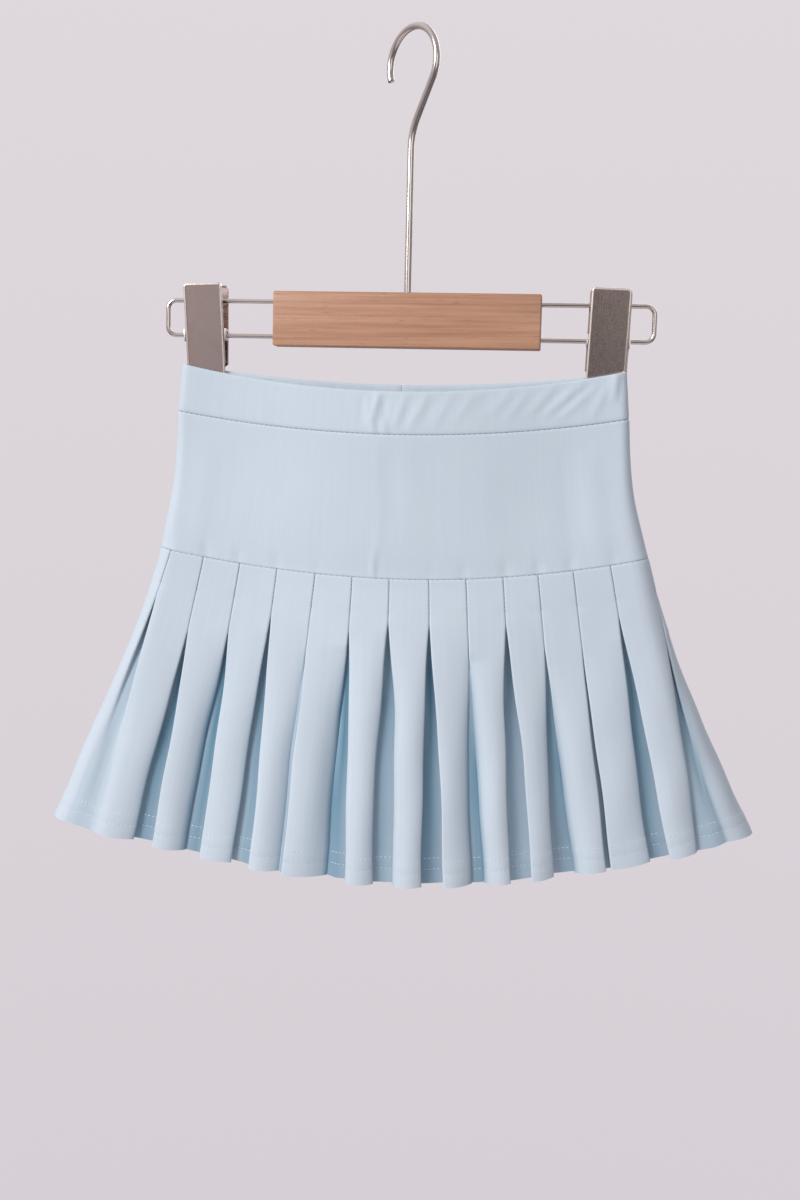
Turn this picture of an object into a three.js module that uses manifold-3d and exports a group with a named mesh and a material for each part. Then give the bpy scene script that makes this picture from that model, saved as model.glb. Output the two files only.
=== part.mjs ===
// A girl's pleated skort, clipped by its back waistband on a wooden clip hanger.
// Millimetres, +Z up, front towards -Y. The origin is the inside top of the hook, where a rail carries it.
import * as THREE from "three";
import { mergeVertices } from "three/addons/utils/BufferGeometryUtils.js";
import Module from "manifold-3d";

const wasm = await Module();
wasm.setup();

// Driving sizes
const SEAM_GAP = 0.3; // between two sewn pieces, and round every wire in its bore
const BAND_WALL = 2.5; // elastic inside a doubled strip
const YOKE_WALL = 1.1;
const SKIRT_WALL = 1.0;
const SHORTS_WALL = 1.0;
const LAYER_PITCH = 1.5; // from one folded layer of a pleat to the next
const UNDERLAY = 17.6; // cloth behind each pleat, crease to crease
const SKIRT_LENGTH = 161; // yoke seam to hem, along the cloth
const LEAST_RETURN = 0.8; // of a pleat that has all but opened out
const PANEL_LIFT = 0.9; // how far an opened panel's middle stands out
const INSEAM_TURN = 6; // radius of a leg of the shorts at its inseam
const CROTCH_STEP = 0.4;
const BAR = { length: 142, height: 28.6, depth: 13, middle: -149, corner: 0.6, bevel: 0.8 };
const HOOK = { wire: 1.8, radius: 18.5, turn: 43, reach: 200, foot: -153, bendAt: -60, bend: 29.3, lean: 29 };
const LOOP = { wire: 1.2, upper: -139.8, lower: -158.2, reach: 129.6, corner: 4.5, grip: 20 };
const CLIP = { left: -108.3, right: 106.1, lean: 2, half: 10.3, backHalf: 11.4, jawHalf: 7.8, wall: 1.0 };
const EAR = { wall: 0.8, half: 4, sunk: 0.5, lip: 1.2, hole: 1.9 };

// One level of the cloth's loop, as it hangs flat on the clips: z at the middle of the front, how much higher the
// back's middle is, how much higher each side fold is, half width, fold radius, how far the front and the back
// belly out, depth of the fold line, and sideways shift.
const COLUMNS = ["z", "back", "left", "right", "half", "fold", "front", "rear", "y", "x"];
const level = (...sizes) => Object.fromEntries(COLUMNS.map((name, i) => [name, sizes[i]]));

const LEVELS = {
  //               z    back  left  right   half  fold front  rear     y     x
  bandTop: level(-186.5, 4.0, 12.8, 12.8, 118.5, 4.2, 7.0, 1.5, -2.95, -2.0),
  bandFoot: level(-209.2, 3.6, 10.2, 10.8, 120.6, 4.6, 8.5, 2.5, -3, -2.0),
  yokeHigh: level(-229, 3.0, 11.0, 11.0, 121.5, 5.2, 8.5, 3.0, -3, -1.6),
  yokeMid: level(-252, 2.5, 12.0, 12.4, 124.1, 6.4, 8.0, 3.6, -3, -1.2),
  yokeLow: level(-271, 2.0, 12.6, 13.6, 128.2, 8.0, 7.0, 4.4, -3, -0.6),
  pleatTop: level(-285, 1.5, 12.3, 14.6, 131.5, 9.0, 6.0, 5.0, -3, 0),
};

// The pleated skirt's loop, by distance below the yoke seam.
const FALL = [
  { down: 0, ...LEVELS.pleatTop },
  { down: 21, ...level(-305.6, 1.2, 12.6, 15.0, 137.3, 10.6, 8.5, 6.0, -2.7, 0) },
  { down: 50, ...level(-334, 0.9, 13.8, 16.4, 147.0, 13.0, 12, 8.0, -2.2, 0) },
  { down: 85, ...level(-368.5, 0.6, 16.0, 18.6, 161.0, 16.0, 16, 10.5, -1.6, 0) },
  { down: 125, ...level(-408.5, 0.3, 18.8, 23.0, 177.5, 19.4, 20, 13.0, -0.8, 0) },
  { down: SKIRT_LENGTH, ...level(-444, 0, 19.5, 28.5, 192.0, 22.0, 22, 15.0, 0, 0) },
];

// The front's pleats and the first one past each side fold, left to right: round is the distance from the centre
// front at the seam, foot the same at the hem, opens the distance down where the fold starts to part, gap its width
// at the hem, and leftSoft and rightSoft how far that edge has rolled back at the hem instead of staying creased.
const FRONT_PLEATS = [
  { round: -143.2, foot: -212, opens: 30, gap: 12, leftSoft: 1.0, rightSoft: 1.0 },
  { round: -124, foot: -173, opens: 33, gap: 20, leftSoft: 2.0, rightSoft: 2.4 },
  { round: -105.8, foot: -136, opens: 44, gap: 12, leftSoft: 2.0, rightSoft: 0 },
  { round: -85.6, foot: -108, opens: 37, gap: 10.6, leftSoft: 0.4, rightSoft: 0 },
  { round: -65, foot: -80, opens: 25, gap: 11, leftSoft: 0, rightSoft: 1.8 },
  { round: -44, foot: -56.5, opens: 42, gap: 2.1, leftSoft: 1.6, rightSoft: 0 },
  { round: -23.9, foot: -27, opens: 29, gap: 12.2, leftSoft: 2.0, rightSoft: 0 },
  { round: -4, foot: -0.8, opens: 23, gap: 10.5, leftSoft: 2.0, rightSoft: 0 },
  { round: 17, foot: 25.5, opens: 23, gap: 11.4, leftSoft: 1.8, rightSoft: 0 },
  { round: 36.5, foot: 49.5, opens: 44, gap: 6.4, leftSoft: 0, rightSoft: 1.6 },
  { round: 55.9, foot: 71.5, opens: 25, gap: 10.6, leftSoft: 1.6, rightSoft: 0 },
  { round: 74.1, foot: 94.3, opens: 42, gap: 11, leftSoft: 0, rightSoft: 2.2 },
  { round: 92.3, foot: 116.6, opens: 44, gap: 2.6, leftSoft: 0, rightSoft: 0 },
  { round: 111.5, foot: 143.5, opens: 27, gap: 9.7, leftSoft: 1.8, rightSoft: 0 },
  { round: 134.5, foot: 171.5, opens: 43, gap: 19.6, leftSoft: 0, rightSoft: 2.6 },
  { round: 153.7, foot: 212, opens: 32, gap: 12, leftSoft: 1.0, rightSoft: 1.0 },
];
const BACK_GAPS = [10, 13, 9, 12, 11, 8, 12, 10, 13, 9, 11, 12]; // the back's pleats at the hem

// The inner shorts below the yoke seam, each row a level at the outside of the cloth, with the inseam's distance
// from the middle, 0 above the crotch.
const SHORTS_ROWS = [
  { ...level(-330, 0, 13, 13, 128, 5.4, 7, 6, -2.6, 0), inseam: 0 },
  { ...level(-374, 0, 12, 12, 131, 8.0, 10, 10, -1, 0), inseam: 0 },
  { ...level(-388, 0, 11, 11, 132, 9.0, 9, 9, 0, 0), inseam: 4 },
  { ...level(-421, 0, 9, 9, 135, 10.0, 8, 8, 0, 0), inseam: 5 },
];

const rad = THREE.MathUtils.degToRad;
const mix = THREE.MathUtils.lerp;

const finish = (color, roughness, metalness) => new THREE.MeshStandardMaterial({ color, roughness, metalness });
const cloth = finish(0xc9d6e2, 0.72, 0);
const wood = finish(0xc4987c, 0.55, 0);
const steel = finish(0xb9b4b0, 0.25, 1);
const plate = finish(0x9a8c8a, 0.4, 1);

// Booleans

function toSolid(geometry) {
  const bare = geometry.clone();
  bare.deleteAttribute("normal");
  bare.deleteAttribute("uv");
  const merged = mergeVertices(bare, 1e-4);
  return new wasm.Manifold(
    new wasm.Mesh({
      numProp: 3,
      vertProperties: new Float32Array(merged.attributes.position.array),
      triVerts: new Uint32Array(merged.index.array),
    }),
  );
}

function fromSolid(solid) {
  const mesh = solid.getMesh();
  const geometry = new THREE.BufferGeometry();
  geometry.setAttribute("position", new THREE.BufferAttribute(new Float32Array(mesh.vertProperties), 3));
  geometry.setIndex(new THREE.BufferAttribute(new Uint32Array(mesh.triVerts), 1));
  geometry.computeVertexNormals();
  return geometry;
}

function joined(geometries) {
  return geometries.map(toSolid).reduce((sum, next) => sum.add(next));
}

// The cloth's loop. A place on it is its distance round from the centre front, positive towards +X; it runs along
// the front, round a side fold, and back to the centre back at half the way round.

function halfRound(row) {
  return 2 * (row.half - row.fold) + Math.PI * row.fold;
}

function loopPoint(row, round, inward) {
  const side = Math.sign(round) || 1;
  const s = Math.abs(round);
  const straight = row.half - row.fold;
  const turn = Math.PI * row.fold;
  const belly = (x) => Math.cos((Math.PI / 2) * Math.min(1, Math.abs(x) / straight)) ** 2;
  let x, y, nx, ny;
  let behind = 0;
  if (s <= straight) {
    x = s;
    y = row.y - row.fold - row.front * belly(x);
    nx = (row.front * Math.PI * Math.sin((Math.PI * x) / straight)) / (2 * straight);
    ny = -1;
  } else if (s <= straight + turn) {
    const angle = (s - straight) / row.fold;
    x = straight + row.fold * Math.sin(angle);
    y = row.y - row.fold * Math.cos(angle);
    nx = Math.sin(angle);
    ny = -Math.cos(angle);
    behind = angle > Math.PI / 2 ? 1 : 0;
  } else {
    x = straight - (s - straight - turn);
    y = row.y + row.fold + row.rear * belly(x);
    nx = (row.rear * Math.PI * Math.sin((Math.PI * x) / straight)) / (2 * straight);
    ny = 1;
    behind = 1;
  }
  const size = Math.hypot(nx, ny);
  const out = (x / row.half) ** 2;
  const rise = side < 0 ? row.left : row.right;
  const z = row.z + rise * out + behind * row.back * (1 - out);
  return new THREE.Vector3(row.x + side * (x - (inward * nx) / size), y - (inward * ny) / size, z);
}

// A closed wall from two grids of points, rows from top to bottom and columns from left to right seen from outside.
function wallGeometry(outer, inner) {
  const rows = outer.length;
  const columns = outer[0].length;
  const points = [...outer.flat(), ...inner.flat()];
  const at = (r, c) => r * columns + c;
  const inside = rows * columns;
  const faces = [];
  const quad = (a, b, c, d) => faces.push(a, b, c, a, c, d);
  for (let r = 0; r < rows - 1; r++)
    for (let c = 0; c < columns - 1; c++) {
      quad(at(r, c), at(r + 1, c), at(r + 1, c + 1), at(r, c + 1));
      quad(inside + at(r, c), inside + at(r, c + 1), inside + at(r + 1, c + 1), inside + at(r + 1, c));
    }
  for (let c = 0; c < columns - 1; c++) {
    quad(at(0, c), at(0, c + 1), inside + at(0, c + 1), inside + at(0, c));
    quad(at(rows - 1, c), inside + at(rows - 1, c), inside + at(rows - 1, c + 1), at(rows - 1, c + 1));
  }
  const last = columns - 1;
  for (let r = 0; r < rows - 1; r++) {
    quad(at(r, 0), inside + at(r, 0), inside + at(r + 1, 0), at(r + 1, 0));
    quad(at(r, last), at(r + 1, last), inside + at(r + 1, last), inside + at(r, last));
  }
  const geometry = new THREE.BufferGeometry();
  geometry.setAttribute("position", new THREE.Float32BufferAttribute(points.flatMap((p) => p.toArray()), 3));
  geometry.setIndex(faces);
  geometry.computeVertexNormals();
  return geometry;
}

// Places round a level from start to end, close together in the side folds and farther apart on the flats.
function stations(row, start, end, flatStep, foldSteps) {
  const straight = row.half - row.fold;
  const half = halfRound(row);
  const breaks = [-half, -half + straight, -straight, straight, half - straight, half, half + straight];
  const places = [start];
  for (let i = 0; i < breaks.length - 1; i++) {
    const from = Math.max(start, breaks[i]);
    const to = Math.min(end, breaks[i + 1]);
    if (to - from < 1e-6) continue;
    const fold = i === 1 || i === 3;
    const steps = fold
      ? Math.max(1, Math.round((foldSteps * (to - from)) / (Math.PI * row.fold)))
      : Math.max(1, Math.round((to - from) / flatStep));
    for (let k = 1; k <= steps; k++) places.push(mix(from, to, k / steps));
  }
  return places;
}

// A plain strip of the garment between two places, the same share of the way round at every level.
function strip(levels, offset, wall, startShare, endShare, gapStart, gapEnd) {
  const first = levels[0];
  const half = halfRound(first);
  const shares = stations(first, startShare * half, endShare * half, 17, 6).map((s) => s / half);
  const grid = (inward) =>
    levels.map((row) => {
      const round = halfRound(row);
      return shares.map((share, i) => {
        const trim = i === 0 ? gapStart / 2 : i === shares.length - 1 ? -gapEnd / 2 : 0;
        const s = share * round + trim;
        return loopPoint(row, s > round ? s - 2 * round : s, inward);
      });
    });
  return wallGeometry(grid(offset), grid(offset + wall));
}

// A level between two rows of a table.
function between(rows, key, value) {
  let i = 0;
  while (i < rows.length - 2 && value > rows[i + 1][key]) i++;
  const [a, b] = [rows[i], rows[i + 1]];
  const t = (value - a[key]) / (b[key] - a[key]);
  return Object.fromEntries(Object.keys(a).map((name) => [name, mix(a[name], b[name], t)]));
}

// Waistband: three strips, with side seams at the folds and a seam at the centre back

const lowered = (row, drop) => ({ ...row, z: row.z - drop });
const bandEnds = [{ ...LEVELS.bandTop, t: 0 }, { ...LEVELS.bandFoot, t: 1 }];
const bandLevels = [0, 1 / 3, 2 / 3, 1].map((t) => between(bandEnds, "t", t));
const bandFold = 0.5;

function waistband() {
  const piece = (from, to) => strip(bandLevels, 0, BAND_WALL, from, to, SEAM_GAP, SEAM_GAP);
  return [
    ["waistband_front", piece(-bandFold, bandFold)],
    ["waistband_back_right", piece(bandFold, 1)],
    ["waistband_back_left", piece(-1, -bandFold)],
  ];
}

// Yoke: front and back, split in line with the skirt's side seams

const seamHalf = halfRound(FALL[0]);
const LEFT_SEAM = FRONT_PLEATS[0].round / seamHalf;
const RIGHT_SEAM = FRONT_PLEATS.at(-1).round / seamHalf;

function yoke() {
  const { bandFoot, yokeHigh, yokeMid, yokeLow, pleatTop } = LEVELS;
  const levels = [lowered(bandFoot, SEAM_GAP), yokeHigh, yokeMid, yokeLow, pleatTop];
  const piece = (from, to) => strip(levels, 0, YOKE_WALL, from, to, SEAM_GAP, SEAM_GAP);
  return [
    ["yoke_front", piece(LEFT_SEAM, RIGHT_SEAM)],
    ["yoke_back", piece(RIGHT_SEAM, 2 + LEFT_SEAM)],
  ];
}

// Skirt: every pleat is a chain of points in the section of the folded cloth

const LEFT_SIDE = FRONT_PLEATS[0];
const RIGHT_SIDE = FRONT_PLEATS.at(-1);

// The back's pleats stand at even shares of the way from the right side's round to the left side's.
function backPleats() {
  return BACK_GAPS.map((gap, i) => ({
    share: (i + 1) / (BACK_GAPS.length + 1),
    opens: 30 + 6 * (i % 3),
    gap,
    leftSoft: i % 2 ? 0 : 1.6,
    rightSoft: i % 2 ? 1.6 : 0,
  }));
}

// One pleat at one distance down: where it is, how far it has parted and how deep its underlay lies.
function pleatAt(pleat, down, row) {
  const t = down / SKIRT_LENGTH;
  const across = (p) => mix(p.round, p.foot, t);
  const open = THREE.MathUtils.clamp((down - pleat.opens) / (SKIRT_LENGTH - pleat.opens), 0, 1);
  const parted = Math.sin((open * Math.PI) / 2);
  const gap = SEAM_GAP + (pleat.gap - SEAM_GAP) * parted;
  const under = Math.max(LEAST_RETURN, (UNDERLAY - gap) / 2);
  const flat = SKIRT_WALL / 2 + 2 * LAYER_PITCH;
  const behind = (share) => mix(across(RIGHT_SIDE), across(LEFT_SIDE) + 2 * halfRound(row), share);
  return {
    middle: pleat.share ? behind(pleat.share) : across(pleat),
    gap,
    under,
    depth: Math.max(flat, (UNDERLAY + SKIRT_WALL) / 2 + 1 - under),
    leftSoft: pleat.leftSoft * parted,
    rightSoft: pleat.rightSoft * parted,
    parted,
  };
}

// The chain of one panel from the middle of the underlay on its left to the middle of the one on its right, as
// pairs of distance round and depth. cuts is the number of steps in each straight stretch.
function panelChain(left, right, cuts) {
  const h = SKIRT_WALL / 2;
  const a = left.middle + left.gap / 2 + h;
  const b = right.middle - right.gap / 2 - h;
  const lift = PANEL_LIFT * Math.max(left.parted, right.parted);
  const corners = [
    [left.middle, left.depth],
    [a - h + left.under, left.depth],
    [a - h + left.under, left.depth - LAYER_PITCH],
    [a, left.depth - LAYER_PITCH],
    [a, h + left.rightSoft],
    [(a + b) / 2, h - lift],
    [b, h + right.leftSoft],
    [b, right.depth - LAYER_PITCH],
    [b + h - right.under, right.depth - LAYER_PITCH],
    [b + h - right.under, right.depth],
    [right.middle, right.depth],
  ];
  const stretched = [0, 2, 4, 5, 7, 9];
  const chain = [];
  corners.slice(0, -1).forEach((corner, i) => {
    const next = corners[i + 1];
    const steps = stretched.includes(i) ? cuts : 1;
    for (let k = 0; k < steps; k++) chain.push([0, 1].map((axis) => mix(corner[axis], next[axis], k / steps)));
  });
  return chain;
}

// A chain moved sideways by a distance, with its corners kept square unless they are very sharp.
function shifted(chain, distance) {
  return chain.map((point, i) => {
    const before = chain[Math.max(0, i - 1)];
    const after = chain[Math.min(chain.length - 1, i + 1)];
    const leg = (p, q) => {
      const size = Math.hypot(q[0] - p[0], q[1] - p[1]) || 1;
      return [(q[1] - p[1]) / size, -(q[0] - p[0]) / size];
    };
    const n1 = i === 0 ? leg(point, after) : leg(before, point);
    const n2 = i === chain.length - 1 ? n1 : leg(point, after);
    const reach = distance / Math.max(0.35, 1 + n1[0] * n2[0] + n1[1] * n2[1]);
    return [point[0] + (n1[0] + n2[0]) * reach, point[1] + (n1[1] + n2[1]) * reach];
  });
}

// A run of panels as one wall. The pleats given bound it, and it ends in the middle of the first and last underlay.
function skirtPiece(pleats, inFold) {
  const grids = [[], []];
  for (const row of FALL) {
    const section = row.down === 0 ? lowered(row, SEAM_GAP) : row;
    const round = halfRound(section);
    const placed = pleats.map((pleat) => pleatAt(pleat, row.down, section));
    const chain = [];
    for (let i = 0; i < placed.length - 1; i++)
      chain.push(...panelChain(placed[i], placed[i + 1], inFold(i) ? 2 : 1));
    const end = placed.at(-1);
    chain.push([end.middle, end.depth]);
    chain[0][0] += SEAM_GAP / 2;
    chain.at(-1)[0] -= SEAM_GAP / 2;
    [SKIRT_WALL / 2, -SKIRT_WALL / 2].forEach((distance, side) =>
      grids[side].push(
        shifted(chain, distance).map(([s, depth]) => loopPoint(section, s > round ? s - 2 * round : s, depth)),
      ),
    );
  }
  return wallGeometry(grids[0], grids[1]);
}

function skirt() {
  const lastPanel = FRONT_PLEATS.length - 2;
  const backRun = [RIGHT_SIDE, ...backPleats(), { ...LEFT_SIDE, share: 1 }];
  return [
    ["skirt_front", skirtPiece(FRONT_PLEATS, (i) => i < 2 || i >= lastPanel - 1)],
    ["skirt_back", skirtPiece(backRun, (i) => i === 0 || i === BACK_GAPS.length)],
  ];
}

// Inner shorts: each side is one wall from the centre front round to the centre back, closing into a leg

function shortsPoints(row, side, inward) {
  const round = halfRound(row);
  const leg = row.inseam ?? 0;
  const inset = row.offset ?? 0;
  const turn = leg ? INSEAM_TURN : 0;
  const start = leg ? leg + turn : SEAM_GAP / 2 + 2 * CROTCH_STEP;
  const reference = halfRound(LEVELS.yokeMid);
  const points = stations(LEVELS.yokeMid, 0, reference, 24, 5).map((s) => {
    const place = mix(start, round - start, s / reference);
    return loopPoint(row, side * place, inset + inward);
  });
  const inner = [1, 0.5, 0].map((t, i) => {
    if (!leg) {
      const place = SEAM_GAP / 2 + CROTCH_STEP * i;
      return [place, round - place].map((at) => loopPoint(row, side * at, inset + inward));
    }
    const front = loopPoint(row, side * start, 0);
    const back = loopPoint(row, side * (round - start), 0);
    const angle = (t * Math.PI) / 2;
    const middle = row.y;
    const arc = (edge, way) => {
      const ry = Math.abs(edge.y - middle) - inward - SEAM_GAP / 2;
      const rx = turn - inward;
      const x = leg + turn - rx * Math.sin(angle);
      return new THREE.Vector3(side * x, middle + way * (SEAM_GAP / 2 + ry * Math.cos(angle)), edge.z);
    };
    return [arc(front, -1), arc(back, 1)];
  });
  const lead = inner.map((pair) => pair[0]);
  const trail = inner.map((pair) => pair[1]).reverse();
  const whole = [...lead.slice(0, 2), ...points, ...trail.slice(1)];
  return side > 0 ? whole : whole.reverse();
}

function shorts() {
  const { bandFoot, yokeHigh, yokeMid, yokeLow, pleatTop } = LEVELS;
  const inside = YOKE_WALL + SEAM_GAP;
  const rows = [
    { ...lowered(bandFoot, SEAM_GAP), offset: inside },
    { ...yokeHigh, offset: inside + 0.1 },
    { ...yokeMid, offset: inside + 0.4 },
    { ...yokeLow, offset: inside + 1.6 },
    { ...pleatTop, offset: 3 * LAYER_PITCH + SEAM_GAP },
    ...SHORTS_ROWS,
  ];
  return [["shorts_left", -1], ["shorts_right", 1]].map(([name, side]) => {
    const grid = (inward) => rows.map((row) => shortsPoints(row, side, inward));
    return [name, wallGeometry(grid(0), grid(SHORTS_WALL))];
  });
}

// A wire's route: straight runs and arcs one after another, each a function of its share from 0 to 1. The route is
// stepped once along a straight run and several times round an arc.
class Route extends THREE.Curve {
  constructor(runs) {
    super();
    this.runs = runs;
    this.steps = runs.reduce((sum, run) => sum + run.steps, 0);
  }
  getPoint(t, target = new THREE.Vector3()) {
    let left = t * this.steps;
    for (const run of this.runs) {
      if (left <= run.steps || run === this.runs.at(-1)) return target.copy(run.at(left / run.steps));
      left -= run.steps;
    }
    return target;
  }
  getUtoTmapping(u) {
    return u;
  }
}

const line = (from, to) => ({ steps: 1, at: (t) => from.clone().lerp(to, t) });
const spot = (centre, across, a, up, b) => centre.clone().addScaledVector(across, a).addScaledVector(up, b);

// An arc about a centre in the plane of two unit directions, from one angle to another.
const arc = (centre, across, up, radius, start, end, steps) => ({
  steps,
  at: (t) => {
    const angle = mix(start, end, t);
    return spot(centre, across, radius * Math.cos(angle), up, radius * Math.sin(angle));
  },
});

function wireGeometry(route, radius, sides) {
  const steps = route.steps;
  const section = new THREE.Shape();
  for (let i = 0; i < sides; i++) {
    const angle = (2 * Math.PI * i) / sides;
    section[i ? "lineTo" : "moveTo"](radius * Math.cos(angle), radius * Math.sin(angle));
  }
  section.closePath();
  return new THREE.ExtrudeGeometry(section, { steps, bevelEnabled: false, extrudePath: route });
}

// Hook: a straight stem in the bar, a neck that leans out, and the arc that goes over the rail

function hook() {
  const up = new THREE.Vector3(0, 0, 1);
  const out = new THREE.Vector3(Math.cos(rad(HOOK.turn)), -Math.sin(rad(HOOK.turn)), 0);
  const centre = new THREE.Vector3(0, 0, HOOK.wire - HOOK.radius);
  const lean = rad(HOOK.lean);
  const bend = new THREE.Vector3(0, 0, HOOK.bendAt);
  const bendCentre = spot(bend, out, HOOK.bend, up, 0);
  const neckFoot = spot(bendCentre, out, -HOOK.bend * Math.cos(lean), up, HOOK.bend * Math.sin(lean));
  const neckTop = spot(centre, out, HOOK.radius * Math.cos(lean), up, -HOOK.radius * Math.sin(lean));
  const route = new Route([
    line(new THREE.Vector3(0, 0, HOOK.foot), bend),
    arc(bendCentre, out, up, HOOK.bend, Math.PI, Math.PI - lean, 3),
    line(neckFoot, neckTop),
    arc(centre, out, up, HOOK.radius, -lean, rad(HOOK.reach), 20),
  ]);
  return wireGeometry(route, HOOK.wire, 10);
}

// Wire loops: a bent wire at each end of the bar, with both legs in the wood

function wireLoop(side) {
  const across = new THREE.Vector3(side, 0, 0);
  const up = new THREE.Vector3(0, 0, 1);
  const start = side * (BAR.length / 2 - LOOP.grip);
  const bend = side * (LOOP.reach - LOOP.corner);
  const at = (x, z) => new THREE.Vector3(x, 0, z);
  const route = new Route([
    line(at(start, LOOP.upper), at(bend, LOOP.upper)),
    arc(at(bend, LOOP.upper - LOOP.corner), across, up, LOOP.corner, Math.PI / 2, 0, 4),
    line(at(side * LOOP.reach, LOOP.upper - LOOP.corner), at(side * LOOP.reach, LOOP.lower + LOOP.corner)),
    arc(at(bend, LOOP.lower + LOOP.corner), across, up, LOOP.corner, 0, -Math.PI / 2, 4),
    line(at(bend, LOOP.lower), at(start, LOOP.lower)),
  ]);
  return wireGeometry(route, LOOP.wire, 8);
}

// Bar: solid wood with rounded edges, bored for the hook and for the four wire ends

function bar() {
  const { length, height, depth, middle, corner, bevel } = BAR;
  const outline = new THREE.Shape();
  const w = length / 2 - corner - bevel;
  const h = height / 2 - corner - bevel;
  outline.absarc(w, h, corner, 0, Math.PI / 2);
  outline.absarc(-w, h, corner, Math.PI / 2, Math.PI);
  outline.absarc(-w, -h, corner, Math.PI, 1.5 * Math.PI);
  outline.absarc(w, -h, corner, 1.5 * Math.PI, 2 * Math.PI);
  const body = new THREE.ExtrudeGeometry(outline, {
    depth: depth - 2 * bevel,
    bevelEnabled: true,
    bevelThickness: bevel,
    bevelSize: bevel,
    bevelSegments: 1,
    curveSegments: 2,
    steps: 1,
  });
  body.translate(0, 0, bevel - depth / 2);
  body.rotateX(Math.PI / 2);
  body.translate(0, 0, middle);
  let solid = toSolid(body);
  const stemBore = new THREE.CylinderGeometry(HOOK.wire + SEAM_GAP, HOOK.wire + SEAM_GAP, height, 12);
  stemBore.rotateX(Math.PI / 2);
  stemBore.translate(0, 0, HOOK.foot - SEAM_GAP + height / 2);
  solid = solid.subtract(toSolid(stemBore));
  const inside = length / 2 - LOOP.grip - SEAM_GAP;
  for (const side of [-1, 1])
    for (const z of [LOOP.upper, LOOP.lower]) {
      const bore = new THREE.CylinderGeometry(LOOP.wire + SEAM_GAP, LOOP.wire + SEAM_GAP, 2 * LOOP.grip, 12);
      bore.rotateZ(Math.PI / 2);
      bore.translate(side * (inside + LOOP.grip), 0, z);
      solid = solid.subtract(toSolid(bore));
    }
  return fromSolid(solid);
}

// Clips: two sprung plates on the lower wire. Local frame: the wire at the origin, z up along the clip.

const HANDLE_TOP = 29; // above the wire
const JAW_FOOT = 26; // below the wire
const WAIST_DROP = 15; // from the wire down to the waist's edge, below which the jaws are narrower
const JAW_Y = BAND_WALL / 2 + SEAM_GAP; // a jaw's face from the middle of the cloth
const HANDLE_Y = 7.4; // a handle's inner face from the middle, at its top
const TAPER = 3;

function clipPlate(way, half) {
  const slope = (HANDLE_Y - JAW_Y) / (HANDLE_TOP + JAW_FOOT);
  const face = (z) => JAW_Y + (z + JAW_FOOT) * slope;
  const outline = new THREE.Shape();
  const corner = 3;
  outline.absarc(half - corner, HANDLE_TOP - corner, corner, 0, Math.PI / 2);
  outline.absarc(-half + corner, HANDLE_TOP - corner, corner, Math.PI / 2, Math.PI);
  outline.lineTo(-half, -WAIST_DROP + TAPER);
  outline.lineTo(-CLIP.jawHalf, -WAIST_DROP);
  outline.lineTo(-CLIP.jawHalf, -JAW_FOOT);
  outline.lineTo(CLIP.jawHalf, -JAW_FOOT);
  outline.lineTo(CLIP.jawHalf, -WAIST_DROP);
  outline.lineTo(half, -WAIST_DROP + TAPER);
  const sheet = new THREE.ExtrudeGeometry(outline, { depth: CLIP.wall, bevelEnabled: false, curveSegments: 4 });
  sheet.rotateX(Math.PI / 2);
  sheet.translate(0, CLIP.wall, 0);
  const lean = new THREE.Matrix4().set(1, 0, 0, 0, 0, 1, slope, face(0), 0, 0, 1, 0, 0, 0, 0, 1);
  sheet.applyMatrix4(lean);
  const earBack = face(0) + EAR.sunk;
  const earDeep = earBack + EAR.hole + EAR.lip;
  const ears = [-1, 1].map((side) => {
    const ear = new THREE.BoxGeometry(EAR.wall, earDeep, 2 * EAR.half);
    ear.translate(side * (half - EAR.wall / 2), earBack - earDeep / 2, 0);
    return ear;
  });
  const bore = new THREE.CylinderGeometry(EAR.hole, EAR.hole, 4 * half, 12);
  bore.rotateZ(Math.PI / 2);
  const solid = joined([sheet, ...ears]).subtract(toSolid(bore));
  const geometry = fromSolid(solid);
  if (way < 0) geometry.rotateZ(Math.PI);
  return geometry;
}

function spring() {
  const radius = 3.2;
  const wire = 0.5;
  const turns = 3.5; // of 8 steps each
  const width = 9;
  const tail = 11; // up the inside of each plate
  const spread = 1.22; // how much farther apart the tails are at their ends
  const coil = {
    steps: 8 * turns,
    at: (t) => {
      const angle = Math.PI - t * turns * 2 * Math.PI;
      return new THREE.Vector3(width * (t - 0.5), radius * Math.cos(angle), radius * Math.sin(angle));
    },
  };
  const leg = (x, y) => [new THREE.Vector3(x, y, 0), new THREE.Vector3(x, y * spread, tail)];
  const [frontFoot, frontTop] = leg(-width / 2, -radius);
  const [backFoot, backTop] = leg(width / 2, radius);
  const route = new Route([line(frontTop, frontFoot), coil, line(backFoot, backTop)]);
  return wireGeometry(route, wire, 5);
}

function clip(name, side) {
  const group = new THREE.Group();
  group.position.set(side < 0 ? CLIP.left : CLIP.right, 0, LOOP.lower);
  group.rotation.y = side * rad(CLIP.lean);
  const add = (part, geometry, material) => {
    const mesh = new THREE.Mesh(geometry, material.clone());
    mesh.name = `${name}_${part}`;
    group.add(mesh);
  };
  add("front_plate", clipPlate(-1, CLIP.half), plate);
  add("back_plate", clipPlate(1, CLIP.backHalf), plate);
  add("spring", spring(), steel);
  return group;
}

// Assembly

const skort = new THREE.Group();

function place(name, geometry, material) {
  const mesh = new THREE.Mesh(geometry, material.clone());
  mesh.name = name;
  skort.add(mesh);
}

const sewn = [...waistband(), ...yoke(), ...skirt(), ...shorts()];
for (const [name, geometry] of sewn) place(name, geometry, cloth);
place("hook", hook(), steel);
place("bar", bar(), wood);
place("wire_loop_left", wireLoop(-1), steel);
place("wire_loop_right", wireLoop(1), steel);
skort.add(clip("clip_left", -1), clip("clip_right", 1));

export default skort;
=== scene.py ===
import math
from collections import namedtuple
import bpy
import numpy as np
from mathutils import Matrix, Vector


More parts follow.
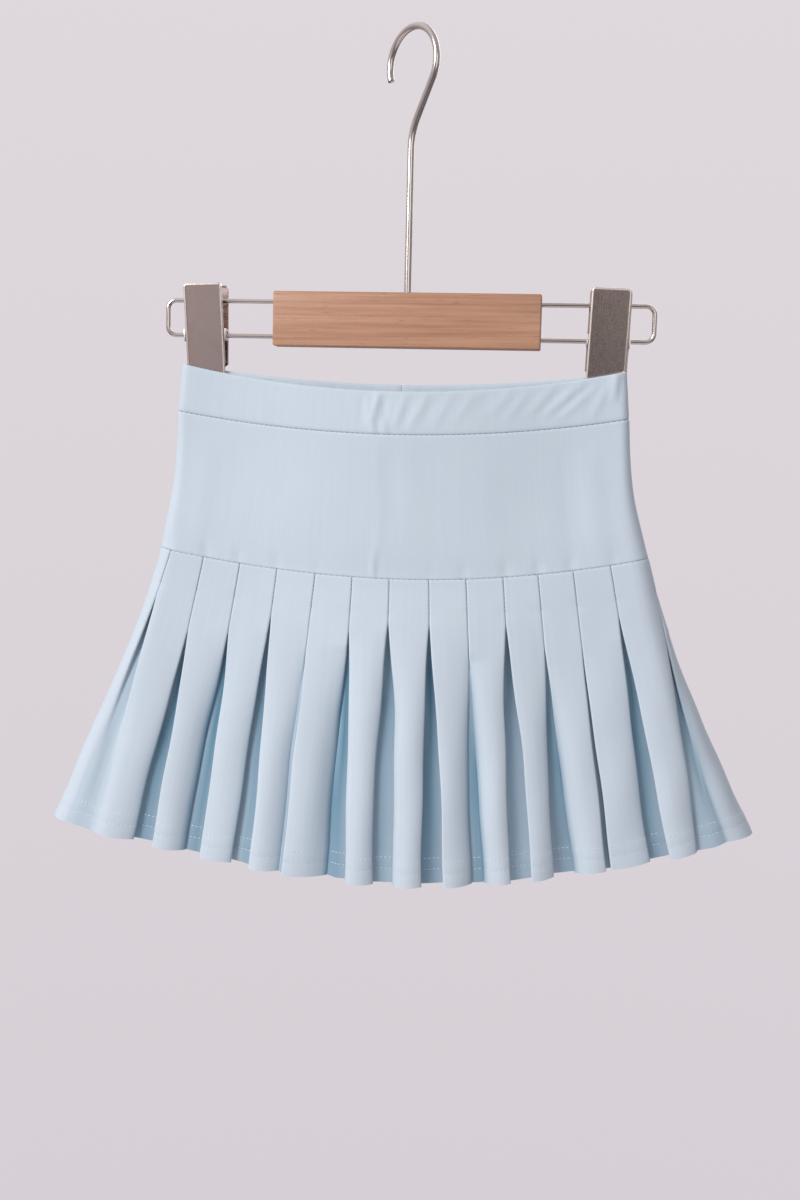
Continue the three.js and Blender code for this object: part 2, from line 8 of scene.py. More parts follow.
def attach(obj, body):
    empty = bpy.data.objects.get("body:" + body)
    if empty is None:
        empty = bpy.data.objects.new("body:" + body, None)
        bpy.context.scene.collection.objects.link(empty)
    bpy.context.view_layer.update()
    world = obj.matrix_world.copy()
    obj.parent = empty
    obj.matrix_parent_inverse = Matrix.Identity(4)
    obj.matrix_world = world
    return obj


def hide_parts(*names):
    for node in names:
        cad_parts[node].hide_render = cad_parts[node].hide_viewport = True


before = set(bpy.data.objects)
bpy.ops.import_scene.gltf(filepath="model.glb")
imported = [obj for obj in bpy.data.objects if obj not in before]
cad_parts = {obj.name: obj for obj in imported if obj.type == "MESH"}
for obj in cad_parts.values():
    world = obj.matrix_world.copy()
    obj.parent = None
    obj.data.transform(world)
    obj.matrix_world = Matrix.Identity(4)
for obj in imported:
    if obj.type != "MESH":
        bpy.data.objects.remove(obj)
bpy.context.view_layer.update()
MM = 0.001

# Hanger bar
# A stick of steamed beech, planed square and sealed with a clear satin lacquer. Its long edges are eased by
# a narrow chamfer. It is drilled from above for the hook and from both ends for the two wire loops.

BAR_SIZE = (142, 13, 28.6)
BAR_MIDDLE = -149
BAR_CHAMFER = 0.9
HOOK_WIRE = 1.8
LOOP_WIRE = 1.2
LOOP_HEIGHTS = (-139.8, -158.2)
HOOK_BORE_MIDDLE = 11
LOOP_BORE_MIDDLE = 61
BORE_DEPTH = 24
BORE_SLACK = 0.25
ALONG_X = (0, math.pi / 2, 0)


def paint(code):
    """An sRGB colour code as linear red, green, blue and alpha."""
    parts = [int(code[i : i + 2], 16) / 255 for i in (1, 3, 5)]
    return [c / 12.92 if c <= 0.04045 else ((c + 0.055) / 1.055) ** 2.4 for c in parts] + [1.0]


def feed(node, inputs):
    """Gives each named input a value, an output to link to, or a node whose first output is linked."""
    for name, value in inputs.items():
        if isinstance(value, bpy.types.Node):
            value = next(output for output in value.outputs if output.enabled)
        if isinstance(value, bpy.types.NodeSocket):
            node.id_data.links.new(value, node.inputs[name])
        else:
            node.inputs[name].default_value = value


def add(tree, kind, inputs, stops=(), **settings):
    """Adds a shader node with its settings, its inputs and, if it is a colour ramp, its stops."""
    node = tree.nodes.new("ShaderNode" + kind)
    for name, value in settings.items():
        setattr(node, name, value)
    for i, (place, code) in enumerate(stops):
        node.color_ramp.elements[i].position = place
        node.color_ramp.elements[i].color = paint(code)
    feed(node, inputs)
    return node


def new_finish(name, **values):
    """A new material, its node tree, its surface shader and the place of a point on the piece."""
    made = bpy.data.materials.new(name)
    made.use_nodes = True
    made.node_tree.nodes.clear()
    inputs = {key.replace("_", " "): value for key, value in values.items()}
    shader = add(made.node_tree, "BsdfPrincipled", inputs)
    add(made.node_tree, "OutputMaterial", {"Surface": shader})
    return made, made.node_tree, shader, add(made.node_tree, "TexCoord", {}).outputs["Object"]


def name_piece(name):
    """Names the piece just made."""
    bpy.context.object.name = name
    bpy.context.object.data.name = name
    return bpy.context.object


def clear_choice():
    if bpy.context.mode != "OBJECT":
        bpy.ops.object.mode_set(mode="OBJECT")
    bpy.ops.object.select_all(action="DESELECT")


def take(piece):
    clear_choice()
    piece.select_set(True)
    bpy.context.view_layer.objects.active = piece
    return piece


def settle(piece):
    """Applies a piece's place, turn and size to its mesh."""
    take(piece)
    bpy.ops.object.transform_apply(location=True, rotation=True, scale=True)


def shape(kind, name, middle, scale=(1, 1, 1), **settings):
    """One of the plain shapes, with its middle in mm."""
    clear_choice()
    getattr(bpy.ops.mesh, f"primitive_{kind}_add")(location=[c * MM for c in middle], **settings)
    piece = name_piece(name)
    piece.scale = scale
    settle(piece)
    return piece


def use(piece, kind, **settings):
    """Applies a modifier to a piece."""
    take(piece)
    modifier = piece.modifiers.new(kind.title(), kind)
    for name, value in settings.items():
        setattr(modifier, name, value)
    bpy.ops.object.modifier_apply(modifier=modifier.name)


def bore(piece, radius, depth, middle, turn):
    """Drills a round bore into a piece, or through it."""
    hole = {"vertices": 24, "radius": radius * MM, "depth": depth * MM}
    drill = shape("cylinder", "drill", middle, rotation=turn, **hole)
    use(piece, "BOOLEAN", object=drill, operation="DIFFERENCE", solver="EXACT")
    bpy.data.objects.remove(drill)


def hand_over(piece, finish, slot_name, *nodes, angle=40):
    """Shades a piece smooth up to an angle between faces, and gives it its finish, body and solids. Its slot
    name is not used.
    """
    take(piece)
    bpy.ops.object.shade_smooth_by_angle(angle=math.radians(angle))
    piece.data.materials.clear()
    piece.data.materials.append(finish)
    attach(piece, "root")
    if nodes:
        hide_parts(*nodes)
    return piece


# Beech: pinkish tan, with fine darker fibres along the stick, short pore flecks and a soft lacquer gloss.
beech, tree, shader, place = new_finish("lacquered_beech", Roughness=0.42, Specular_IOR_Level=0.5)
along = add(tree, "Mapping", {"Vector": place, "Scale": (11, 230, 620)})
fibre = add(tree, "TexNoise", {"Vector": along, "Scale": 1.0, "Detail": 6.0, "Roughness": 0.62})
broad = add(tree, "Mapping", {"Vector": place, "Scale": (5, 60, 95), "Location": (0.3, 0.1, 0.7)})
ring = add(tree, "TexNoise", {"Vector": broad, "Scale": 1.0, "Detail": 3.0, "Distortion": 0.7})
short = add(tree, "Mapping", {"Vector": place, "Scale": (130, 500, 1300)})
fleck = add(tree, "TexNoise", {"Vector": short, "Scale": 1.0, "Detail": 2.0})
warm = add(tree, "ValToRGB", {"Fac": fibre}, [(0.34, "#946549"), (0.66, "#CE9D7E")])
tone = add(tree, "ValToRGB", {"Fac": ring}, [(0.35, "#AA7D62"), (0.65, "#CAA084")])
wood = add(tree, "Mix", {"Factor": 0.45, "A": warm, "B": tone}, data_type="RGBA")
pores = add(tree, "ValToRGB", {"Fac": fleck}, [(0.62, "#FFFFFF"), (0.76, "#C9A68C")])
flecked = add(tree, "Mix", {"Factor": 0.5, "A": wood, "B": pores}, data_type="RGBA", blend_type="MULTIPLY")
raised = add(tree, "Bump", {"Height": fibre, "Strength": 0.25, "Distance": 0.00012})
feed(shader, {"Base Color": flecked, "Normal": raised})

bar = shape("cube", "beech_bar", (0, 0, BAR_MIDDLE), [side * MM for side in BAR_SIZE], size=1)
use(bar, "BEVEL", width=BAR_CHAMFER * MM, segments=3, profile=0.5)
bore(bar, HOOK_WIRE + BORE_SLACK, BORE_DEPTH, (0, 0, BAR_MIDDLE + HOOK_BORE_MIDDLE), (0, 0, 0))
for end in (-1, 1):
    for z in LOOP_HEIGHTS:
        bore(bar, LOOP_WIRE + BORE_SLACK, BORE_DEPTH, (end * LOOP_BORE_MIDDLE, 0, z), ALONG_X)
hand_over(bar, beech, "wood", "bar", angle=30)


# Hook
# Hard-drawn steel wire, 3.6 mm, nickel plated and polished. It stands in the bar, leans out at the neck and
# turns over the rail on an 18.5 mm radius. Its tip is rounded.

HOOK_RADIUS = 18.5
HOOK_TURN = math.radians(43)
HOOK_REACH = math.radians(200)
HOOK_FOOT = -153
BEND_AT = -60
BEND_RADIUS = 29.3
LEAN = math.radians(29)
TIP_INSET = 0.35
TIP_RISE = 0.3

# Nickel plate: a warm bright grey mirror, a little duller in patches where hands and rails have rubbed it.
nickel, tree, shader, place = new_finish("polished_nickel_wire", Metallic=1.0)
cloudy = add(tree, "TexNoise", {"Vector": place, "Scale": 60.0, "Detail": 3.0})
tint = add(tree, "ValToRGB", {"Fac": cloudy}, [(0.3, "#CDC3BC"), (0.7, "#D6CDC6")])
marks = add(tree, "TexNoise", {"Vector": place, "Scale": 90.0, "Detail": 2.0})
dull = add(
    tree, "MapRange", {"Value": marks, "From Min": 0.3, "From Max": 0.7, "To Min": 0.15, "To Max": 0.2}
)
feed(shader, {"Base Color": tint, "Roughness": dull})


def choose_open_ring(near):
    """Selects the open ring of edges nearest a point, in edit mode."""
    bpy.ops.mesh.select_all(action="DESELECT")
    bpy.ops.mesh.select_non_manifold()
    piece = bpy.context.object
    piece.update_from_editmode()
    near = Vector(near) * MM
    chosen = [v.index for v in piece.data.vertices if v.select and (v.co - near).length < 4 * MM]
    bpy.ops.mesh.select_all(action="DESELECT")
    bpy.ops.object.mode_set(mode="OBJECT")
    for i in chosen:
        piece.data.vertices[i].select = True
    bpy.ops.object.mode_set(mode="EDIT")


def pull(move):
    """Extrudes what is chosen, in edit mode, by a move in mm."""
    bpy.ops.mesh.extrude_region_move(TRANSFORM_OT_translate={"value": [c * MM for c in move]})


def turn_outward():
    """Chooses all of a piece, in edit mode, and turns its faces outward."""
    bpy.ops.mesh.select_all(action="SELECT")
    bpy.ops.mesh.normals_make_consistent(inside=False)


def wire(name, radius, start, face, moves, sides=20):
    """A bent wire: a ring at its start, pulled straight or spun round a centre. Its far end is rounded."""
    piece = shape("circle", name, start, vertices=sides, radius=radius * MM, rotation=face)
    bpy.ops.object.mode_set(mode="EDIT")
    bpy.ops.mesh.select_mode(type="VERT")
    bpy.ops.mesh.select_all(action="SELECT")
    for move in moves:
        if move[0] == "pull":
            pull(move[1])
        else:
            _, centre, axis, angle, steps = move
            bpy.ops.mesh.spin(steps=steps, angle=-angle, center=[c * MM for c in centre], axis=axis)
    bpy.ops.mesh.edge_face_add()
    bpy.ops.mesh.inset(thickness=radius * TIP_INSET * MM, depth=radius * TIP_RISE * MM)
    bpy.ops.mesh.select_all(action="DESELECT")
    choose_open_ring(start)
    bpy.ops.mesh.edge_face_add()
    bpy.ops.mesh.select_all(action="SELECT")
    bpy.ops.mesh.remove_doubles(threshold=0.00001)
    turn_outward()
    bpy.ops.object.mode_set(mode="OBJECT")
    return piece


out = Vector((math.cos(HOOK_TURN), -math.sin(HOOK_TURN), 0))
side = Vector((math.sin(HOOK_TURN), math.cos(HOOK_TURN), 0))
crown = Vector((0, 0, HOOK_WIRE - HOOK_RADIUS))
bend_centre = Vector((0, 0, BEND_AT)) + out * BEND_RADIUS
slant = out * math.cos(LEAN) - Vector((0, 0, math.sin(LEAN)))
neck_foot = bend_centre - slant * BEND_RADIUS
neck_top = crown + slant * HOOK_RADIUS
hook = wire(
    "wire_hook",
    HOOK_WIRE,
    (0, 0, HOOK_FOOT),
    (0, 0, 0),
    [
        ("pull", (0, 0, BEND_AT - HOOK_FOOT)),
        ("spin", bend_centre, side, LEAN, 8),
        ("pull", neck_top - neck_foot),
        ("spin", crown, side, -(HOOK_REACH + LEAN), 44),
    ],
    24,
)
hand_over(hook, nickel, "wire", "hook")


# Wire loops
# One bent steel wire at each end of the bar, 2.4 mm, nickel plated. Both legs are pressed 20 mm into the
# wood, and the clips slide along them between the bar and the rounded end.

LOOP_REACH = 129.6
LOOP_CORNER = 4.5
LOOP_GRIP = 20

for end, label in ((-1, "left"), (1, "right")):
    upper, lower = LOOP_HEIGHTS
    start = end * (BAR_SIZE[0] / 2 - LOOP_GRIP)
    bend = end * (LOOP_REACH - LOOP_CORNER)
    loop = wire(
        f"wire_loop_{label}_end",
        LOOP_WIRE,
        (start, 0, upper),
        ALONG_X,
        [
            ("pull", (bend - start, 0, 0)),
            ("spin", (bend, 0, upper - LOOP_CORNER), (0, 1, 0), end * math.pi / 2, 10),
            ("pull", (0, 0, lower - upper + 2 * LOOP_CORNER)),
            ("spin", (bend, 0, lower + LOOP_CORNER), (0, 1, 0), end * math.pi / 2, 10),
            ("pull", (start - bend, 0, 0)),
        ],
    )
    hand_over(loop, nickel, "wire", f"wire_loop_{label}")


# Clips
# Each is two pressed steel plates with their side edges turned back, brushed and nickel plated, round the
# lower wire. A coil spring on the wire pushes their handles apart, so that the jaws close on the back
# waistband.

# Each clip's place along its wire, how far it leans in degrees, and the side on which the jaw of its front
# plate is narrower than the handle. Each plate's half width, where its ears stand beyond that, and the way
# that it faces.
CLIPS = {"left": (-108.3, -2, (-1,)), "right": (106.1, 2, (1,))}
PLATES = {"front": (10.3, 0.7, -1), "back": (11.0, -1.3, 1)}
PLATE_TOP = 27.2
PLATE_FOOT = -26
JAW_TOP = -15.5
JAW_HALF = 7.8
JAW_FACE = 1.55
HANDLE_FACE = 7.4
PLATE_WALL = 1.0
SHOULDER = 2.6
FLANGE = 2.6
FLANGE_WALL = 0.7
TOP_CORNER = 1.9
FOOT_CORNER = 1.0
RIM_ROUND = 0.8
RIM_STEPS = (0.3, 0.2)
FACE_SINK = 0.32
EAR_RADIUS = 3.1
EAR_WALL = 0.8
EAR_BORE = 1.9
EAR_DRILL = 60
EAR_EDGE = 0.18
EAR_TAB = (0.8, 3.6, 6.4)
EAR_TAB_OFFSET = 2.4
SMALL_FACE = 60
SAME = 0.01

# Brushed nickel: a browner grey than the wire, whose fine upright brushing dulls what it mirrors.
brushed, tree, shader, place = new_finish("brushed_nickel_plate", Metallic=1.0)
# The brush lines are 0.1 mm apart on the plate and drawn 0.4 mm apart, so that they show.
upright = add(tree, "Mapping", {"Vector": place, "Scale": (2500, 2500, 40)})
strokes = add(tree, "TexNoise", {"Vector": upright, "Scale": 1.0, "Detail": 3.0})
worn = add(tree, "TexNoise", {"Vector": place, "Scale": 120.0, "Detail": 4.0})
tint = add(tree, "ValToRGB", {"Fac": worn}, [(0.2, "#CDBBB4"), (0.8, "#D4C3BC")])
rough = add(
    tree, "MapRange", {"Value": strokes, "From Min": 0.3, "From Max": 0.7, "To Min": 0.24, "To Max": 0.28}
)
raised = add(tree, "Bump", {"Height": strokes, "Strength": 0.05, "Distance": 0.00003})
feed(shader, {"Base Color": tint, "Roughness": rough, "Normal": raised})

# Nickel rims: the rims and the turned edges of the plates get a near-white colour, a painted highlight along
# the rounded edges that catch the light, mottled a little at random.
polished, tree, shader, place = new_finish("nickel_rim_painted_highlight", Metallic=1.0, Roughness=0.32)
rim_mottle = add(tree, "TexNoise", {"Vector": place, "Scale": 300.0, "Detail": 2.0})
tint = add(tree, "ValToRGB", {"Fac": rim_mottle}, [(0.3, "#EAE2DA"), (0.7, "#F4EEE8")])
feed(shader, {"Base Color": tint})


def choose_faces(piece, test):
    """Selects, in edit mode, the faces whose centre in mm and normal pass a test."""
    bpy.ops.object.mode_set(mode="OBJECT")
    for element in list(piece.data.vertices) + list(piece.data.edges):
        element.select = False
    for face in piece.data.polygons:
        face.select = bool(test(face.center / MM, face.normal))
    bpy.ops.object.mode_set(mode="EDIT")
    bpy.ops.mesh.select_mode(type="FACE")


def choose_level(piece, z, mode):
    """Selects, in edit mode, the corners and the edges at a height."""
    take(piece)
    at_level = [abs(vertex.co.z - z * MM) < SAME * MM for vertex in piece.data.vertices]
    for face in piece.data.polygons:
        face.select = False
    for edge in piece.data.edges:
        edge.select = all(at_level[i] for i in edge.vertices)
    for vertex, chosen in zip(piece.data.vertices, at_level):
        vertex.select = chosen
    bpy.ops.object.mode_set(mode="EDIT")
    bpy.ops.mesh.select_mode(type=mode)


def clip_plate(half, way, narrow):
    """A pressed plate in the clip's own frame, its wire at the origin. The jaw is narrower on the sides in
    narrow, the face is sunk inside a rounded rim, and the edges of the handle are turned back."""
    middle = (0, 0, (PLATE_TOP + JAW_TOP) / 2)
    sides = (2 * half * MM, (PLATE_TOP - JAW_TOP) * MM, 1)
    plate = shape("plane", "plate", middle, sides, size=1, rotation=(math.pi / 2, 0, 0))
    for low, target in ((JAW_TOP, JAW_TOP - SHOULDER), (JAW_TOP - SHOULDER, PLATE_FOOT)):
        choose_level(plate, low, "EDGE")
        pull((0, 0, target - low))
        bpy.ops.object.mode_set(mode="OBJECT")
        for vertex in plate.data.vertices:
            if abs(vertex.co.z - target * MM) < SAME * MM and math.copysign(1, vertex.co.x) in narrow:
                vertex.co.x = math.copysign(JAW_HALF * MM, vertex.co.x)
    bpy.ops.object.mode_set(mode="EDIT")
    bpy.ops.mesh.select_mode(type="FACE")
    turn_outward()
    bpy.ops.mesh.dissolve_faces()
    for end, radius in ((PLATE_TOP, TOP_CORNER), (PLATE_FOOT, FOOT_CORNER)):
        choose_level(plate, end, "VERT")
        bpy.ops.mesh.bevel(offset=radius * MM, segments=5, affect="VERTICES")
    bpy.ops.mesh.select_mode(type="FACE")
    bpy.ops.mesh.select_all(action="SELECT")
    pull((0, PLATE_WALL, 0))
    turn_outward()
    choose_faces(plate, lambda centre, normal: normal.y > 0.9)
    bpy.ops.mesh.inset(thickness=FLANGE_WALL * MM)
    choose_faces(
        plate,
        lambda centre, normal: normal.y > 0.9 and centre.z > JAW_TOP
        and (centre.z > PLATE_TOP - 1 or abs(centre.x) > half - 0.8),
    )
    pull((0, FLANGE - PLATE_WALL, 0))
    choose_faces(plate, lambda centre, normal: normal.y < -0.99)
    bpy.ops.mesh.region_to_loop()
    bpy.ops.mesh.bevel(offset=RIM_ROUND * MM, segments=4, affect="EDGES")
    choose_faces(plate, lambda centre, normal: normal.y < -0.99)
    for step in RIM_STEPS:
        bpy.ops.mesh.inset(thickness=step * MM)
    bpy.ops.transform.translate(value=(0, FACE_SINK * MM, 0))
    bpy.ops.object.mode_set(mode="OBJECT")
    for vertex in plate.data.vertices:
        vertex.co.y -= PLATE_WALL * MM
    slope = (HANDLE_FACE - JAW_FACE) / (PLATE_TOP - PLATE_FOOT)
    plate.rotation_euler.x = math.atan(slope)
    plate.location.y = -(JAW_FACE - PLATE_FOOT * slope) * MM
    settle(plate)
    if way > 0:
        plate.rotation_euler.z = math.pi
        settle(plate)
    return plate


def clip_ears(out, way):
    """The plate's two round ears on the wire, each with the lip that holds it to the plate."""
    ears = []
    for end in (-1, 1):
        middle = (end * out, 0, 0)
        round_ear = {"vertices": 32, "radius": EAR_RADIUS * MM, "depth": EAR_WALL * MM}
        disc = shape("cylinder", "ear", middle, rotation=ALONG_X, **round_ear)
        middle = (end * out, way * EAR_TAB_OFFSET, 0)
        tab = shape("cube", "tab", middle, [side * MM for side in EAR_TAB], size=1)
        use(disc, "BOOLEAN", object=tab, operation="UNION", solver="EXACT")
        bpy.data.objects.remove(tab)
        bore(disc, EAR_BORE, EAR_DRILL, (0, 0, 0), ALONG_X)
        use(disc, "BEVEL", width=EAR_EDGE * MM, segments=2, angle_limit=math.radians(40))
        ears.append(disc)
    return ears


def join(name, parts):
    """One piece of several."""
    take(parts[0])
    for part in parts[1:]:
        part.select_set(True)
    bpy.ops.object.join()
    return name_piece(name)


SPRING_RADIUS = 3.2
SPRING_WIDTH = 9
SPRING_TURNS = 3.5
SPRING_STEPS = 70
SPRING_WIRE = 0.5
TAIL_TOP = 11
TAIL_SPREAD = 1.22


def new_piece(name, data):
    """A piece that shows a curve, a mesh, a lamp or a camera."""
    piece = bpy.data.objects.new(name, data)
    bpy.context.collection.objects.link(piece)
    return piece


def clip_spring(name):
    """Three and a half turns of 1 mm wire round the pivot, with a tail up the inside of each plate."""
    tail = SPRING_RADIUS * TAIL_SPREAD
    points = [(-SPRING_WIDTH / 2, -tail, TAIL_TOP)]
    for i in range(SPRING_STEPS + 1):
        share = i / SPRING_STEPS
        angle = math.pi - share * SPRING_TURNS * 2 * math.pi
        ring = SPRING_RADIUS * math.cos(angle), SPRING_RADIUS * math.sin(angle)
        points.append((SPRING_WIDTH * (share - 0.5), *ring))
    points.append((SPRING_WIDTH / 2, tail, TAIL_TOP))
    curve = bpy.data.curves.new(name, "CURVE")
    curve.dimensions = "3D"
    curve.bevel_depth = SPRING_WIRE * MM
    curve.bevel_resolution = 2
    curve.use_fill_caps = True
    line = curve.splines.new("POLY")
    line.points.add(len(points) - 1)
    for point, spot in zip(line.points, points):
        point.co = [c * MM for c in spot] + [1]
    piece = take(new_piece(name, curve))
    bpy.ops.object.convert(target="MESH")
    return piece


for label, (middle, lean, front_narrow) in CLIPS.items():
    built = []
    for part, (half, reach, way) in PLATES.items():
        plate = clip_plate(half, way, front_narrow if way < 0 else (-1, 1))
        whole = join(f"clip_{label}_{part}_pressing", [plate] + clip_ears(half + reach, way))
        built.append((whole, brushed, "plate", f"clip_{label}_{part}_plate"))
    built.append((clip_spring(f"clip_{label}_coil"), nickel, "wire", f"clip_{label}_spring"))
    for piece, finish, slot_name, cad_node in built:
        piece.rotation_euler.y = math.radians(lean)
        piece.location = (middle * MM, 0, LOOP_HEIGHTS[1] * MM)
        settle(piece)
        hand_over(piece, finish, slot_name, cad_node, angle=35)
        if finish == brushed:
            # The small outward faces of the rims and turned edges take the rim finish with its painted
            # highlight.
            piece.data.materials.append(polished)
            middle_of_plate = max(piece.data.polygons, key=lambda face: face.area).center.copy()
            middle_of_plate.y *= 0.6
            for face in piece.data.polygons:
                outward = (face.center - middle_of_plate).dot(face.normal) > 0
                face.material_index = int(face.area < SMALL_FACE * MM**2 and outward)


# Waistband
# A doubled strip of the same jersey as the rest, folded over a flat elastic and sewn in three lengths, with
# side seams and one at the centre back. Its lower edge is sewn into the yoke with the turnings inside.

# The hang of the whole garment on the clips, in mm, by distance down from the yoke seam. Columns: down, z
# of the middle of the front, how much higher than it are the middle of the back, the left fold and the
# right fold, half width, radius of the folds, how far the front and the back belly out, depth of the folds,
# and sideways shift.
HANG = np.array([
    (-98.5, -186.5, 4.0, 12.8, 12.8, 118.5, 4.2, 7.0, 1.5, -2.95, -2.0),
    (-75.8, -209.2, 3.6, 10.2, 10.8, 120.6, 4.6, 8.5, 2.5, -3.0, -2.0),
    (-56, -229, 3.0, 11.0, 11.0, 121.5, 5.2, 8.5, 3.0, -3.0, -1.6),
    (-33, -252, 2.5, 12.0, 12.4, 124.1, 6.4, 8.0, 3.6, -3.0, -1.2),
    (-14, -271, 2.0, 12.6, 13.6, 128.2, 8.0, 7.0, 4.4, -3.0, -0.6),
    (0, -285, 1.5, 12.3, 14.6, 131.5, 9.0, 6.0, 5.0, -3.0, 0),
    (21, -305.6, 1.2, 12.6, 15.0, 137.3, 10.6, 8.5, 6.0, -2.7, 0),
    (50, -334, 0.9, 13.8, 16.4, 147.0, 13.0, 12.0, 8.0, -2.2, 0),
    (85, -368.5, 0.6, 16.0, 18.6, 161.0, 16.0, 16.0, 10.5, -1.6, 0),
    (125, -408.5, 0.3, 18.8, 23.0, 177.5, 19.4, 20.0, 13.0, -0.8, 0),
    (161, -444, 0, 19.5, 28.5, 192.0, 22.0, 22.0, 15.0, 0, 0),
])
BAND_TOP = -98.5
WAIST_SEAM = -75.8
BAND_WALL = 2.3
BAND_SKIN = 0.3
WRINKLE_STRENGTH = 1.25
SEAM_GAP = 0.15
END_TUCK = 0.25

# Soft ridges (height above 0) and troughs of the front: x and z of each end, width, height.
BAND_WRINKLES = [
    (-18, -188, -18, -206, 1.6, 0.35), (-20.5, -187, -21, -206, 2.0, -0.3),
    (-12, -187, -15.7, -203, 1.4, 0.9), (-15.7, -199, -14.6, -210, 1.3, 0.8),
    (-8.6, -188, -9.5, -202, 1.7, -0.45), (-9, -202, -8.6, -210, 1.0, 0.6),
    (2.3, -187, -3.5, -206, 1.4, 0.4), (7, -188, 0, -206, 1.5, -0.22), (13.9, -187, 3.3, -208, 1.7, 0.42),
    (19, -187, 11, -205, 1.8, -0.2), (26.5, -186, 17.5, -205, 1.7, 0.3), (38.6, -186, 28, -202, 1.9, 0.26),
    (47, -185, 38, -199, 2.0, -0.15), (58, -184, 46, -198, 2.2, 0.3), (66.6, -184, 54, -201, 1.8, 0.3),
    (79, -182, 65, -199, 1.9, 0.34), (86, -181, 70, -200, 2.0, -0.22), (95, -179, 72, -199, 1.9, 0.45),
    (99, -180, 79, -198, 1.6, -0.25), (103, -180, 80, -201, 1.7, 0.4), (108.4, -178, 98, -200, 1.9, 0.45),
    (111.2, -172, 110, -190, 1.9, 0.9), (114, -172, 112.8, -189, 1.2, -0.5),
]
YOKE_WRINKLES = [
    (-12.5, -210, -11, -246, 2.4, 0.14), (-9, -243, -12, -286, 2.4, 0.16),
    (-13.4, -271, -12.4, -287, 1.0, 0.45), (-9, -270, -10, -287, 1.6, -0.25),
    (-5, -212, -2, -262, 6, -0.3), (98, -212, 108, -282, 6, 0.45), (86, -212, 92, -280, 6, -0.3),
    (-104, -212, -112, -276, 9, 0.4), (40, -216, 52, -280, 12, 0.35), (14, -214, 20, -278, 10, -0.3),
    (-50, -216, -58, -280, 14, 0.35),
]


def hang_at(down):
    """The row of the hang at a distance down, on a smooth curve through the table's rows."""
    keys = HANG[:, 0]
    i = int(np.clip(np.searchsorted(keys, down) - 1, 0, len(keys) - 2))
    slope = np.gradient(HANG, keys, axis=0)
    span = keys[i + 1] - keys[i]
    t = (down - keys[i]) / span
    return (
        (2 * t**3 - 3 * t**2 + 1) * HANG[i]
        + (t**3 - 2 * t**2 + t) * span * slope[i]
        + (-2 * t**3 + 3 * t**2) * HANG[i + 1]
        + (t**3 - t**2) * span * slope[i + 1]
    )


def half_round(row):
    """Half the way round a row, from the centre front to the centre back."""
    return 2 * (row[5] - row[6]) + math.pi * row[6]


def loop_points(row, place, inward):
    """Points of the cloth at places round a row, measured from the centre front, positive to the right."""
    _, z, back, left, right, half, fold, front, rear, y0, x0 = row
    around = half_round(row)
    place = np.where(place > around, place - 2 * around, place)
    side = np.where(place < 0, -1.0, 1.0)
    s = np.abs(place)
    straight = half - fold
    turn = math.pi * fold
    angle = np.clip((s - straight) / fold, 0, math.pi)
    behind = (angle > math.pi / 2).astype(float)
    flat_x = np.where(s <= straight, s, straight - np.maximum(s - straight - turn, 0))
    lean = np.pi * np.clip(flat_x / straight, 0, 1)
    belly = np.where(behind > 0, rear, front)
    bulge = belly * np.cos(lean / 2) ** 2
    steep = belly * math.pi * np.sin(lean) / (2 * straight)
    in_fold = (angle > 0) & (angle < math.pi)
    x = flat_x + fold * np.sin(angle)
    y = y0 - fold * np.cos(angle) + np.where(behind > 0, bulge, -bulge)
    nx = np.where(in_fold, np.sin(angle), steep)
    ny = np.where(in_fold, -np.cos(angle), np.where(behind > 0, 1.0, -1.0))
    size = np.hypot(nx, ny)
    out = (x / half) ** 2
    rise = np.where(side < 0, left, right)
    height = z + rise * out + behind * back * (1 - out)
    return np.stack([x0 + side * (x - inward * nx / size), y - inward * ny / size, height], axis=-1)


def wrinkled(points, wrinkles):
    """How far each point is pushed outward by a list of ridges and troughs."""
    x, z = points[..., 0], points[..., 2]
    push = np.zeros_like(x)
    for x0, z0, x1, z1, width, height in wrinkles:
        length = math.hypot(x1 - x0, z1 - z0)
        ux, uz = (x1 - x0) / length, (z1 - z0) / length
        t = ((x - x0) * ux + (z - z0) * uz) / length
        off = (x - x0) * uz - (z - z0) * ux
        fade = np.sin(np.pi * np.clip(t, 0, 1)) ** 0.6 * (t > 0) * (t < 1)
        push += WRINKLE_STRENGTH * height * fade * np.exp(-((off / width) ** 2))
    return push


def sheet_mesh(name, points):
    """A sheet from rows of points in mm, the first at the top and each from left to right seen from outside.
    Its map is in metres along the cloth."""
    rows, columns = points.shape[:2]
    index = np.arange(rows * columns).reshape(rows, columns)
    quads = np.stack([index[:-1, :-1], index[1:, :-1], index[1:, 1:], index[:-1, 1:]], axis=-1).reshape(-1, 4)
    mesh = bpy.data.meshes.new(name)
    mesh.from_pydata((points * MM).reshape(-1, 3).tolist(), [], quads.tolist())
    across = np.zeros((rows, columns))
    across[:, 1:] = np.cumsum(np.linalg.norm(np.diff(points, axis=1), axis=2), axis=1)
    across -= across.mean(axis=1, keepdims=True)
    across = np.repeat(across.mean(axis=0, keepdims=True), rows, axis=0)
    downward = np.zeros((rows, columns))
    downward[1:] = np.cumsum(np.linalg.norm(np.diff(points, axis=0), axis=2), axis=0)
    downward = np.repeat(downward.mean(axis=1, keepdims=True), columns, axis=1)
    grid = np.stack([across, downward], axis=-1) * MM
    corners = [grid[:-1, :-1], grid[1:, :-1], grid[1:, 1:], grid[:-1, 1:]]
    layer = mesh.uv_layers.new(name="Cloth")
    layer.data.foreach_set("uv", np.stack(corners, axis=2).reshape(-1).astype(np.float32))
    return new_piece(name, mesh)


def seam_gap(count):
    """How far the cloth ends short of the seams at the two ends of a row."""
    gap = np.zeros(count)
    gap[0], gap[-1] = SEAM_GAP, -SEAM_GAP
    return gap
